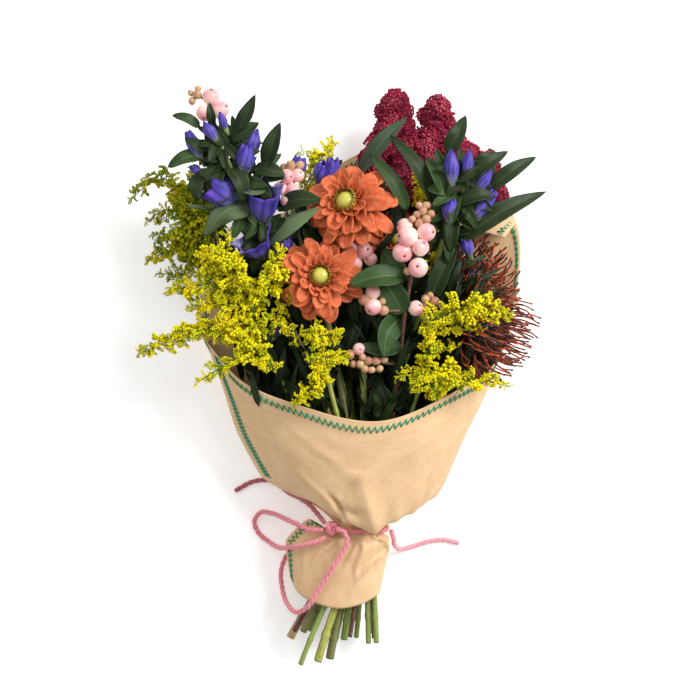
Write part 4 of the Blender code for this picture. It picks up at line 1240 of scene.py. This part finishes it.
rng = random.Random(31)
for gentian_name, leaves in GENTIAN_LEAVES.items():
    leaves_bm = bmesh.new()
    for path, width, lean in leaves:
        facing = Vector((*lean, 1.0 if abs(lean[0]) + abs(lean[1]) < 1.5 else -1.0)).normalized()
        leaf_blade(leaves_bm, in_metres(path), width * GENTIAN_LEAF_SCALE * MM, facing, 0.32, 0.25,
                   0.1, across=8, rows=14)
    for knot, count, shortest, longest in GENTIAN_WHORLS[gentian_name]:
        knot = Vector(knot) * MM
        for k in range(count):
            spin = 2 * math.pi * (k + rng.uniform(-0.3, 0.3)) / count
            away = Vector((math.cos(spin), math.sin(spin), rng.uniform(-0.1, 0.55))).normalized()
            reach = rng.uniform(shortest, longest) * MM
            foot = knot + away * 2 * MM
            path = [foot, foot + away * reach * 0.5 + UP * 0.08 * reach,
                    foot + away * reach - UP * rng.uniform(0, 0.16) * reach]
            lean = Vector((rng.uniform(-0.5, 0.5), rng.uniform(-0.5, 0.5), 1)).normalized()
            leaf_blade(leaves_bm, path, reach * rng.uniform(0.34, 0.44), lean, 0.35, 0.2, 0.1,
                       across=6, rows=9)
    give_wall(piece(gentian_name + "_leaves", leaves_bm, [LEAF_TOP, LEAF_UNDER], "leaf_green"),
              LEAF_THICK, 1)

    bells_bm = bmesh.new()
    for foot, tip, radius, opening in GENTIAN_BELLS[gentian_name]:
        foot, tip = in_metres([foot, tip])
        gentian_bell(bells_bm, foot, tip, radius * MM, opening)
    bells = piece(gentian_name + "_bells", bells_bm, [BELL, BELL_THROAT], "gentian_blooms", gentian_name)
    give_wall(bells, LEAF_THICK, 1)

    stalk_bm = bmesh.new()
    stalk = even_points(in_metres(GENTIAN_STALKS[gentian_name]), 2 * MM)
    skin_line(stalk_bm, stalk, 10,
              lambda turn, t: (2.3 - 0.7 * t) * MM * (1 + 0.05 * math.cos(4 * turn)))
    for foot, tip, radius, opening in GENTIAN_BELLS[gentian_name]:
        foot, tip = in_metres([foot, tip])
        ahead = (tip - foot).normalized()
        short = [foot - ahead * 5 * MM - UP * 4 * MM, foot - ahead * 2 * MM, foot + ahead * 3 * MM]
        skin_line(stalk_bm, short, 8, lambda turn, t: (1.4 + 1.2 * t) * MM)
        side = ahead.orthogonal().normalized()
        for k in range(5):
            away = Matrix.Rotation(2 * math.pi * k / 5, 3, ahead) @ side
            sepal = [foot + away * radius * 0.3 * MM, foot + ahead * 6 * MM + away * radius * 0.75 * MM,
                     foot + ahead * 12 * MM + away * radius * 1.02 * MM]
            skin_line(stalk_bm, sepal, 4, lambda turn, t: (0.9 - 0.75 * t) * MM)
    piece(gentian_name + "_stalk", stalk_bm, [SEPAL], "stem_green")


# ---------------------------------------------------------------- goldenrod
# Six plumes of goldenrod. Every branch is a thin green stalk with short twigs round it, each
# crowded with round yellow florets, looser and greener towards the tip.
GOLDENROD = {
    # each branch: its path and how wide its twigs spread
    "goldenrod_left": [
        ([(-111, 90, 50), (-124, 130, 50), (-140, 170, 50)], 34),
        ([(-134, 152, 50), (-150, 184, 54), (-183, 162, 46)], 17),
        ([(-120, 118, 48), (-146, 116, 48), (-168, 107, 42)], 18),
        ([(-114, 98, 50), (-138, 94, 46), (-158, 95, 40)], 16),
        ([(-112, 92, 52), (-108, 130, 58), (-114, 164, 56)], 24),
        ([(-122, 108, 48), (-140, 128, 50), (-162, 130, 46)], 18),
        ([(-128, 140, 50), (-150, 152, 52), (-168, 142, 48)], 16),
        ([(-126, 150, 52), (-122, 170, 56), (-128, 186, 54)], 16),
    ],
    "goldenrod_front_left": [
        ([(-60, 27, 87), (-68, 50, 100), (-70, 84, 108)], 20),
        ([(-66, 42, 94), (-112, 45, 96), (-170, 24, 82)], 20),
        ([(-70, 68, 104), (-112, 82, 102), (-144, 78, 90)], 20),
        ([(-66, 78, 108), (-90, 96, 112), (-112, 110, 108)], 28),
        ([(-52, 8, 106), (-68, 26, 106), (-88, 42, 104)], 26),
        ([(-70, 22, 106), (-92, 14, 110), (-118, -2, 110)], 16),
    ],
    "goldenrod_front_left_sprays": [
        ([(-68, 70, 106), (-56, 90, 110), (-48, 112, 110)], 22),
        ([(-66, 66, 104), (-58, 80, 110), (-36, 98, 108)], 22),
        ([(-70, 60, 100), (-95, 66, 104), (-125, 64, 98)], 18),
        ([(-68, 50, 98), (-90, 52, 102), (-120, 38, 96)], 17),
        ([(-62, 36, 98), (-50, 56, 104), (-40, 66, 104)], 16),
        ([(-40, 70, 108), (-36, 78, 110), (-32, 84, 110)], 14),
        ([(-84, 92, 104), (-96, 112, 106), (-92, 128, 100)], 16),
    ],
    "goldenrod_front": [
        ([(-8, 15, 106), (-12, 30, 113), (-14, 49, 113)], 16),
        ([(-8, 28, 109), (-16, -2, 115), (-34, -20, 114)], 18),
        ([(-30, 42, 115), (-14, 38, 116), (4, 40, 115)], 18),
        ([(-24, 16, 115), (-8, 20, 116), (10, 20, 114)], 18),
        ([(-30, 30, 110), (-42, 46, 110), (-50, 52, 106)], 12),
    ],
    "goldenrod_right": [
        ([(76, 0, 93), (79, 14, 104), (80, 56, 115)], 17),
        ([(76, 46, 115), (112, 63, 121), (148, 57, 117)], 23),
        ([(64, -8, 105), (84, -2, 107), (108, 4, 109)], 28),
        ([(92, 0, 112), (118, 2, 114), (148, -5, 108)], 17),
        ([(84, 40, 110), (108, 48, 112), (126, 44, 108)], 14),
        ([(78, 22, 106), (92, 26, 108), (106, 30, 104)], 14),
        ([(72, 4, 104), (62, 8, 104), (54, 2, 100)], 12),
    ],
    "goldenrod_middle": [
        ([(74, 72, 71), (86, 100, 76), (97, 126, 76)], 20),
        ([(90, 108, 76), (86, 136, 76), (72, 178, 76)], 18),
    ],
    "goldenrod_back": [
        ([(-31, 163, 60), (-18, 187, 58), (-3, 212, 54)], 19),
        ([(-26, 172, 60), (-34, 190, 58), (-30, 204, 54)], 12),
    ],
}
TWIG = 9 * MM  # length of one flowering twig before it is scaled to its plume
PLUME_STEP = 2.7 * MM  # between one ring of twigs and the next
TWIG_FLORETS = 15


def in_cad(name):
    """The CAD node of that name, for a piece that may have none of its own."""
    return [name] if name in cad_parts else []


def place_along(where, direction, spin=0.0, size=1.0):
    """Puts something built along Z at a place, pointing in a direction."""
    turned = direction.to_track_quat("Z", "Y").to_matrix().to_4x4()
    return (Matrix.Translation(where) @ turned @ Matrix.Rotation(spin, 4, "Z")
            @ Matrix.Scale(size, 4))


def plant(bm, template, matrix):
    """Adds a copy of a finished template mesh, put in place by the matrix."""
    moved = template.copy()
    moved.transform(matrix)
    bm.from_mesh(moved)
    bpy.data.meshes.remove(moved)


def as_template(bm, name):
    mesh = bpy.data.meshes.new(name)
    bm.to_mesh(mesh)
    bm.free()
    return mesh


def floret_twig(number, rng):
    """A twig that arches outwards, with round florets along both sides and on top of it."""
    bm = bmesh.new()
    line = in_metres([(0, 0, 0), (1.6, 0, 4), (3.6, 0, 7.2), (6.2, 0, 8.6)])
    skin_line(bm, [smooth_point(line, k / 4) for k in range(5)], 3,
              lambda turn, t: (0.3 - 0.12 * t) * MM, look=1)
    for k in range(TWIG_FLORETS):
        t = 0.18 + 0.82 * k / (TWIG_FLORETS - 1)
        spin = (k % 3 - 1) * 1.3 + rng.uniform(-0.4, 0.4)
        away = Vector((-0.55 * math.cos(spin), math.sin(spin), 0.75 * math.cos(spin) + 0.25))
        away.normalize()
        where = smooth_point(line, t) + away * rng.uniform(1.2, 2.2) * MM * (1.1 - 0.3 * t)
        size = rng.uniform(0.8, 1.1) * MM * (1.06 - 0.2 * t)
        bmesh.ops.create_icosphere(bm, subdivisions=1, radius=size,
                                   matrix=place_along(where, away) @ Matrix.Diagonal((1, 1, 1.2, 1)))
    return as_template(bm, f"floret_twig_{number}")


def floret_look(name, bright, dull):
    """Florets that differ one by one and from patch to patch, with green ones among them."""
    made, tree, shader = new_material(name, 0.65, Specular_IOR_Level=0.15)
    place = object_place(tree)
    each = add_noise(tree, place, 420.0, 1.0)
    both = add_math(tree, "ADD", each, add_noise(tree, place, 60.0, 2.0))
    green = (dull[0] * 0.55, dull[1] * 0.8, dull[2])
    shade = add_ramp(tree, add_math(tree, "MULTIPLY", both, 0.5), (0.38, green), (0.48, dull),
                     (0.58, bright))
    paint(tree, shader, shade, each, 0.3 * MM, 0.5)
    return made


FLORET_BRIGHT = floret_look("floret_bright", (0.93, 0.78, 0.006), (0.64, 0.56, 0.006))
FLORET_OLIVE = floret_look("floret_olive", (0.6, 0.52, 0.006), (0.27, 0.31, 0.006))
TWIG_GREEN = mottled("goldenrod_twig", (0.06, 0.12, 0.016), (0.13, 0.2, 0.03), 0.004, 0.6,
                     Specular_IOR_Level=0.25)

rng = random.Random(5)
TWIGS = [floret_twig(number, rng) for number in range(5)]
for plume_name, branches in GOLDENROD.items():
    plume_bm = bmesh.new()
    for path, width in branches:
        line = even_points(in_metres(path), PLUME_STEP)
        skin_line(plume_bm, line, 5, lambda turn, t: (0.95 - 0.6 * t) * MM, look=1)
        for i, here in enumerate(line):
            t = i / (len(line) - 1)
            ahead = (line[min(i + 1, len(line) - 1)] - line[max(i - 1, 0)]).normalized()
            taper = 0.42 + 0.58 * math.sin(math.pi * min(1.0, 0.18 + 0.82 * t) ** 1.15)
            for k in range(3 if width > 17 else 2):
                spin = rng.uniform(0, 2 * math.pi)
                side = Matrix.Rotation(spin, 3, ahead) @ ahead.orthogonal().normalized()
                away = (side + ahead * rng.uniform(0.4, 1.1)).normalized()
                size = width * MM / 2 / TWIG * taper * rng.uniform(0.6, 1.15) * 1.2
                plant(plume_bm, rng.choice(TWIGS), place_along(here, away, rng.uniform(0, 6.28), size))
        plant(plume_bm, TWIGS[0], place_along(line[-1], ahead, 0, 0.5))
    look = FLORET_OLIVE if plume_name == "goldenrod_left" else FLORET_BRIGHT
    piece(plume_name + "_florets", plume_bm, [look, TWIG_GREEN], "goldenrod_florets",
          *in_cad(plume_name))


# ---------------------------------------------------------------- snowberries
# Twigs of pink snowberries. A berry is a waxy ball with a small brown calyx at its far end,
# blushed on the side that saw the sun. Unripe ones are small, tan and crowded at the tip.
SNOWBERRIES = {
    # twig, then ripe berries, then unripe ones, each as centre and radius
    "snowberries_tip": (
        [(-107, 231, 65), (-110, 240, 70), (-119, 250, 71)],
        [((-109, 249, 72), 8), ((-101, 238, 70), 8), ((-115, 235, 72), 7.5)],
        [((-121, 251, 72), 4), ((-126, 246, 70), 3.5), ((-127, 253, 70), 3), ((-121, 257, 69), 3)]),
    "snowberries_back": (
        [(-38, 156, 93), (-40, 166, 98), (-42, 180, 98)],
        [((-32, 177, 100), 6), ((-41, 176, 102), 6.5), ((-46.5, 166, 100), 6.3),
         ((-36, 164, 101), 6.5), ((-40.5, 155.5, 98.5), 6.6)],
        [((-38, 185, 102), 4.2), ((-30, 186, 98), 3.8), ((-44, 184, 99), 3.6)]),
    "snowberries_gap": (
        [(12, 104, 90), (20, 106, 93), (30, 108, 92)],
        [((13, 113, 95), 7.2), ((26, 112, 96), 7.5), ((17, 101, 95), 7), ((31, 105, 94), 6)], []),
    "snowberries_top": (
        [(67, 95, 117), (69, 112, 123), (76, 142, 121)],
        [((62, 122, 128), 9.0), ((60, 131, 122), 7.4), ((78, 126, 126), 8), ((58, 109, 124), 8.8),
         ((73, 113, 128), 7.4), ((71, 96, 126), 8.5)],
        [((72, 134, 126), 3.6), ((78, 137, 127), 3.8), ((70, 141, 124), 3.4), ((75, 144, 125), 3.8),
         ((82, 142, 123), 3.4), ((78, 149, 123), 3.4), ((72, 149, 122), 3.2), ((66, 137, 126), 3.2),
         ((62, 93, 124), 3.4)]),
    "snowberries_left": (
        [(56, 60, 106), (44, 60, 108), (28, 70, 108)],
        [((33, 76, 110), 6.5), ((33, 63, 112), 7.3)],
        [((25.5, 69, 111), 5), ((42, 60, 111), 4.6), ((41, 68, 109), 3.4)]),
    "snowberries_right": (
        [(67, 61, 106), (76, 62, 106), (88, 68, 106)],
        [((70, 62, 108), 7)],
        [((80, 62, 108), 5), ((86, 68, 107), 4.2), ((78, 70, 110), 3.4), ((85, 61, 108), 3.6),
         ((91, 65, 106), 3.4), ((82, 73, 108), 3.2), ((80, 52, 104), 3.4), ((87, 53, 103), 3)]),
    "snowberries_low": (
        [(52, 14, 94), (38, 16, 98), (18, 26, 100)],
        [((21, 27, 102), 5.4)],
        [((13, 22, 102), 4.4), ((36, 17, 101), 4), ((26, 10, 100), 3.6), ((29, 17, 101), 4),
         ((22, 14, 101), 3.8), ((43, 18, 100), 3.4), ((39, 10, 99), 3.2), ((16, 14, 99), 3.2),
         ((32, 9, 99), 3.2), ((24, 20, 103), 3.2)]),
}


def berry_look(name, pale, blush, speck, roughness):
    """Waxy skin, blushed towards one end in soft patches, with a few fine specks."""
    made, tree, shader = new_material(name, roughness, Subsurface_Weight=0.2, Coat_Weight=0.12,
                                      Subsurface_Radius=(0.004, 0.002, 0.0015))
    place = object_place(tree)
    patch = add_noise(tree, place, 75.0, 2.0)
    lean = add_math(tree, "MULTIPLY_ADD", patch, 1.3, -0.55)
    amount = add_math(tree, "ADD", axes_of(tree, own_uv(tree))[1], lean)
    body = add_ramp(tree, amount, (0.4, pale), (1.0, blush))
    dots = add_node(tree, "ShaderNodeTexVoronoi", Vector=place, Scale=330.0)
    near = add_ramp(tree, dots.outputs["Distance"], (0.03, (0.6, 0.6, 0.6)), (0.08, (0, 0, 0)))
    paint(tree, shader, add_mix(tree, body, (*speck, 1), near, "MIX"), patch, 0.4 * MM, 0.3)
    return made


BERRY = berry_look("berry_skin", (0.92, 0.68, 0.58), (0.83, 0.34, 0.36), (0.5, 0.17, 0.13), 0.4)
UNRIPE = berry_look("unripe_berry", (0.52, 0.38, 0.19), (0.48, 0.2, 0.13), (0.26, 0.1, 0.06), 0.55)
BERRY_CALYX = mottled("berry_calyx", (0.05, 0.025, 0.015), (0.12, 0.05, 0.03), 0.001, 0.7)
BERRY_TWIG = mottled("berry_twig", (0.16, 0.06, 0.035), (0.1, 0.09, 0.03), 0.004, 0.55)


def berry_shape(name, segments, rings, oblong, look):
    """A berry of radius 1 with its calyx at +Z, set in a small hollow."""
    bm = bmesh.new()
    bm.loops.layers.uv.verify()
    bmesh.ops.create_uvsphere(bm, u_segments=segments, v_segments=rings, radius=1, calc_uvs=True)
    for vert in bm.verts:
        out = math.hypot(vert.co.x, vert.co.y)
        lump = noise.noise(vert.co * 1.6 + Vector((oblong * 9, 0, 0)))
        vert.co *= 1 + 0.05 * lump
        vert.co.z *= oblong
        if vert.co.z > 0:
            vert.co.z -= 0.16 * math.exp(-(out / 0.22) ** 2)
    for face in bm.faces:
        face.material_index = look
    known = set(bm.faces)
    base = Matrix.Translation((0, 0, 0.9 * oblong))
    bmesh.ops.create_cone(bm, segments=10, radius1=0.07, radius2=0.12, depth=0.12, cap_ends=True,
                          matrix=base)
    for vert in {v for f in bm.faces if f not in known for v in f.verts}:
        turn = math.atan2(vert.co.y, vert.co.x)
        if vert.co.z > 0.9 * oblong:
            vert.co *= 1 + 0.04 * math.cos(5 * turn)
            vert.co.x *= 1 + 0.25 * math.cos(5 * turn)
            vert.co.y *= 1 + 0.25 * math.cos(5 * turn)
    for face in bm.faces:
        if face not in known:
            face.material_index = 2
    return as_template(bm, name)


rng = random.Random(3)
RIPE = [berry_shape(f"ripe_berry_{k}", 20, 14, 0.95 + 0.05 * k, 0) for k in range(3)]
SMALL = [berry_shape(f"small_berry_{k}", 12, 9, 1.1 + 0.1 * k, 1) for k in range(2)]
for cluster_name, (twig, ripe, unripe) in SNOWBERRIES.items():
    cluster_bm = bmesh.new()
    cluster_bm.loops.layers.uv.verify()
    spine = even_points(in_metres(twig), 2 * MM)
    skin_line(cluster_bm, spine, 8, lambda turn, t: (1.5 - 0.7 * t) * MM, look=3)
    for shapes, berries in ((RIPE, ripe), (SMALL, unripe)):
        for centre, radius in berries:
            centre = Vector(centre) * MM
            nearest = min(spine, key=lambda p: (p - centre).length)
            away = (centre - nearest).normalized()
            askew = Vector((rng.uniform(-0.9, 0.9), rng.uniform(-0.9, 0.9), 0.35))
            out = (away * 0.8 + askew).normalized()
            plant(cluster_bm, rng.choice(shapes), place_along(centre, out, rng.uniform(0, 6), radius * MM))
            stalk = [nearest, (nearest + centre) / 2 - UP * MM, centre - away * radius * 0.7 * MM]
            skin_line(cluster_bm, stalk, 5, lambda turn, t: 0.8 * MM, look=3)
    piece(cluster_name + "_sprig", cluster_bm, [BERRY, UNRIPE, BERRY_CALYX, BERRY_TWIG],
          "snowberry_skin", cluster_name)


# ---------------------------------------------------------------- amaranth
# One plume of crimson amaranth behind the other flowers: a branched head of blunt lobes, each
# packed with tiny rough grains, some of them bleached to a dusty pink. Between the grains the
# lobes show a dark crimson flesh, darkened with painted shade.
AMARANTH_LOBES = [
    # centre, radius
    ((54, 247, 47), 13), ((52, 236, 45), 12), ((48, 224, 43), 13), ((40, 210, 42), 13),
    ((92, 242, 46), 12.5), ((90, 230, 43), 11), ((86, 218, 42), 11.5), ((80, 206, 42), 14),
    ((62, 205, 42), 14), ((34, 196, 40), 14), ((104, 205, 42), 13), ((119, 201, 42), 12.5),
    ((131, 192, 42), 13), ((143, 180, 41), 11), ((148, 167, 40), 9), ((128, 175, 42), 14),
    ((107, 180, 43), 16), ((86, 184, 44), 16), ((64, 184, 44), 16), ((42, 176, 40), 15),
    ((28, 180, 38), 12), ((56, 160, 38), 14), ((78, 164, 40), 14), ((100, 162, 40), 14),
    ((60, 146, 34), 12), ((120, 160, 38), 12), ((60, 196, 28), 15), ((90, 196, 28), 16),
    ((116, 188, 28), 14), ((84, 146, 34), 12), ((60, 228, 40), 12), ((98, 218, 40), 12),
    ((70, 214, 38), 12), ((110, 212, 36), 10), ((28, 168, 34), 12), ((138, 196, 38), 11),
    ((44, 240, 44), 9), ((82, 236, 42), 9), ((100, 232, 43), 9), ((62, 240, 44), 9),
]
GRAIN_TUFT = 2.6 * MM  # radius of one tuft of grains
TUFT_GRAINS = 9
TUFT_GAP = 5.2 * MM  # between one tuft and the next
SPIRAL = 2.39996  # the golden angle, which spreads points evenly over a ball


def grain_tuft(number, rng):
    """A few rough grains heaped together, facing +Z."""
    bm = bmesh.new()
    for k in range(TUFT_GRAINS):
        spin = k * 2.4 + number
        out = GRAIN_TUFT * math.sqrt(k / TUFT_GRAINS)
        where = Vector((out * math.cos(spin), out * math.sin(spin), rng.uniform(-0.3, 0.9) * MM))
        size = rng.uniform(0.7, 1.15) * MM
        stretch = Matrix.Diagonal((1, rng.uniform(0.75, 1.1), rng.uniform(0.9, 1.4), 1))
        tip = Vector((rng.uniform(-0.6, 0.6), rng.uniform(-0.6, 0.6), 1))
        bmesh.ops.create_icosphere(bm, subdivisions=1, radius=size,
                                   matrix=place_along(where, tip) @ stretch)
    return as_template(bm, f"grain_tuft_{number}")


def grain_look():
    """Crimson grains that differ one by one, the palest a dusty pink."""
    made, tree, shader = new_material("amaranth_grain", 0.8, Specular_IOR_Level=0.2)
    place = object_place(tree)
    each = add_noise(tree, place, 560.0, 1.0)
    patch = add_math(tree, "MULTIPLY_ADD", add_noise(tree, place, 55.0, 2.0), 0.4, -0.2)
    shade = add_ramp(tree, add_math(tree, "ADD", each, patch), (0.34, (0.09, 0.003, 0.014)),
                     (0.5, (0.31, 0.012, 0.045)), (0.64, (0.42, 0.035, 0.08)),
                     (0.76, (0.6, 0.24, 0.2)))
    paint(tree, shader, shade, each, 0.4 * MM, 0.7)
    return made


rng = random.Random(17)
TUFTS = [grain_tuft(number, rng) for number in range(4)]
# the flesh between the tufts is the plume's own crimson darkened with painted shade, so the gaps between
# the grains look deep
AMARANTH_FLESH_SHADED = mottled("amaranth_flesh", (0.09, 0.006, 0.02), (0.16, 0.012, 0.035), 0.004, 0.8)
plume_bm = bmesh.new()
plume_bm.loops.layers.uv.verify()
for centre, radius in AMARANTH_LOBES:
    bmesh.ops.create_icosphere(plume_bm, subdivisions=3, radius=(radius - 2) * MM,
                               matrix=Matrix.Translation(Vector(centre) * MM))
for face in plume_bm.faces:
    face.material_index = 1
for number, (centre, radius) in enumerate(AMARANTH_LOBES):
    count = round(4 * math.pi * (radius * MM) ** 2 / TUFT_GAP ** 2)
    for k in range(count):
        high = 1 - 2 * (k + 0.5) / count
        spin = k * SPIRAL + number
        flat = math.sqrt(1 - high * high)
        away = Vector((flat * math.cos(spin), flat * math.sin(spin), high))
        lump = 1 + 0.3 * noise.noise(away * 3.4 + Vector((number * 3.1, 0, 0)))
        where = Vector(centre) + away * (radius - 1.4) * lump
        buried = any((where - Vector(other)).length < size - 2.5
                     for i, (other, size) in enumerate(AMARANTH_LOBES) if i != number)
        if buried or where.z < 8:
            continue
        plant(plume_bm, rng.choice(TUFTS), place_along(where * MM, away, rng.uniform(0, 6),
                                                       rng.uniform(0.7, 1.3)))
piece("amaranth_grains", plume_bm, [grain_look(), AMARANTH_FLESH_SHADED], "amaranth_grains", "amaranth_plume")


# ---------------------------------------------------------------- pincushion flowers
# Two dark pincushion heads at the right. A head is a knob of curled dark florets from which
# stiff wiry styles bow outwards, maroon at the foot, orange in the middle, with a black knob
# or a bright orange one at each tip.
PINCUSHIONS = {
    # centre, core radius, reach, facing, how far the long styles spread, their number
    "pincushion_front": ((126, 44, 74), 24, 56, (0.8, -0.28, 0.5), 84, 112),
    "pincushion_back": ((120, 88, 50), 21, 46, (0.5, 0.62, 0.5), 80, 84),
}
SHORT_STYLES = 210  # the dark ones that curl over the core
SHORT_SPREAD = 165
SHORT_REACH = 0.58


def style_look():
    """Wiry styles: nearly black at the foot, rust towards the tip, with brighter orange patches."""
    made, tree, shader = new_material("pincushion_style", 0.38, Coat_Weight=0.2)
    patch = add_noise(tree, object_place(tree), 110.0, 2.0)
    body = add_ramp(tree, axes_of(tree, own_uv(tree))[1], (0.0, (0.025, 0.006, 0.006)),
                    (0.35, (0.11, 0.018, 0.012)), (0.75, (0.3, 0.055, 0.014)), (1.0, (0.16, 0.02, 0.01)))
    tint = add_ramp(tree, patch, (0.35, (0.35, 0.3, 0.4)), (0.52, (1, 1, 1)), (0.68, (2.6, 2.2, 0.9)))
    paint(tree, shader, add_mix(tree, body, tint), patch, 0.1 * MM, 0.4)
    return made


STYLE = style_look()
STYLE_TIP = mottled("style_tip_dark", (0.012, 0.008, 0.012), (0.04, 0.012, 0.012), 0.002, 0.35)
STYLE_TIP_ORANGE = mottled("style_tip_orange", (0.8, 0.12, 0.02), (0.6, 0.05, 0.015), 0.003, 0.4)
CURLED = mottled("curled_floret", (0.012, 0.004, 0.007), (0.05, 0.01, 0.012), 0.003, 0.45)

rng = random.Random(41)
for head_name, (centre, core, reach, facing, spread, number) in PINCUSHIONS.items():
    head_bm = bmesh.new()
    head_bm.loops.layers.uv.verify()
    centre = Vector(centre) * MM
    turned = Vector(facing).to_track_quat("Z", "Y")
    bmesh.ops.create_icosphere(head_bm, subdivisions=3, radius=core * 0.9 * MM,
                               matrix=Matrix.Translation(centre))
    for face in head_bm.faces:
        face.material_index = 3
    styles = [(k, number, math.radians(spread), 1.0) for k in range(number)]
    styles += [(k, SHORT_STYLES, math.radians(SHORT_SPREAD), SHORT_REACH)
               for k in range(SHORT_STYLES)]
    for k, total, widest, share in styles:
        lean = widest * math.sqrt((k + 0.5) / total)
        spin = k * SPIRAL + rng.uniform(-0.2, 0.2)
        away = turned @ Vector((math.sin(lean) * math.cos(spin), math.sin(lean) * math.sin(spin),
                                math.cos(lean)))
        top = turned @ UP
        bow = any_way(rng) * 5 * MM
        length = reach * share * rng.uniform(0.74, 1.02) * MM
        hook = (top - away * top.dot(away)) * length * rng.uniform(0.25, 0.42)
        line = [centre + away * core * 0.5 * MM,
                centre + away * length * 0.55 + bow * share - hook * 0.35,
                centre + away * length * 0.86 + bow * share * 0.4 + hook * 0.1,
                centre + away * length * 0.97 + hook * 0.75]
        if min(p.z for p in line) < 3 * MM:
            continue
        fine = [smooth_point(line, s / 9) for s in range(10)]
        skin_line(head_bm, fine, 5, lambda turn, t: (1.05 - 0.35 * t) * MM,
                  look=0 if share == 1.0 else 3)
        tip_look = 2 if rng.random() < 0.2 else 1
        direction = (fine[-1] - fine[-2]).normalized()
        knob = bmesh.ops.create_icosphere(head_bm, subdivisions=1, radius=1.2 * MM, matrix=place_along(
            fine[-1], direction) @ Matrix.Diagonal((0.85, 0.85, 1.5, 1)))
        for face in faces_of(knob["verts"]):
            face.material_index = tip_look
    piece(head_name + "_styles", head_bm, [STYLE, STYLE_TIP, STYLE_TIP_ORANGE, CURLED],
          "pincushion_styles", head_name)


# ---------------------------------------------------------------- the broad leaves
# Single leaves that show between the flowers: five oval, veined snowberry leaves, one narrow
# grey leaf behind the dahlias, and one beside the pincushions.
BROAD_LEAVES = {
    # path, width, bluntness, upper side, finish
    "leaf_grey": ([(20, 178, 88), (42, 206, 102), (63, 228, 98)], 17, 0.1, (-0.5, 0.3, 1), "grey"),
    "leaf_snowberry_large": (
        [(58, 90, 116), (36, 88, 124), (13, 82, 122)], 23, 0.5, (0, 0.45, 1), "green"),
    "leaf_snowberry_dark": (
        [(56, 54, 97), (46, 42, 106), (42, 20, 108)], 22, 0.5, (0.4, 0, 1), "green"),
    "leaf_snowberry_behind": (
        [(60, 84, 103), (50, 98, 104), (42, 114, 98)], 20, 0.5, (0, -0.2, 1), "green"),
    "leaf_right": ([(84, 70, 96), (92, 92, 100), (106, 117, 96)], 19, 0.4, (-0.4, 0, 1), "green"),
    "leaf_snowberry_low": (
        [(60, 58, 106), (50, 74, 110), (38, 96, 106)], 25, 0.5, (-0.3, 0, 1), "green"),
    "leaf_snowberry_front": (
        [(60, 30, 98), (40, 26, 103), (20, 30, 102)], 15, 0.5, (0, 0.5, 1), "green"),
}
BROAD_LOOKS = {
    "green": (leaf_look("snowberry_leaf_top", (0.018, 0.045, 0.01), (0.06, 0.11, 0.03)),
              leaf_look("snowberry_leaf_under", (0.13, 0.2, 0.09), (0.24, 0.32, 0.18), roughness=0.6)),
    "grey": (leaf_look("grey_leaf_top", (0.05, 0.09, 0.045), (0.13, 0.19, 0.11), count=6.0, slant=1.6),
             leaf_look("grey_leaf_under", (0.14, 0.2, 0.13), (0.22, 0.28, 0.2), roughness=0.6)),
}
for leaf_name, (path, width, blunt, facing, finish) in BROAD_LEAVES.items():
    leaf_bm = bmesh.new()
    leaf_blade(leaf_bm, in_metres(path), width * MM, Vector(facing).normalized(), 0.28, blunt, 0.08,
               across=12, rows=24)
    give_wall(piece(leaf_name + "_blade", leaf_bm, BROAD_LOOKS[finish], "leaf_" + finish,
                    *in_cad(leaf_name)), LEAF_THICK, 1)
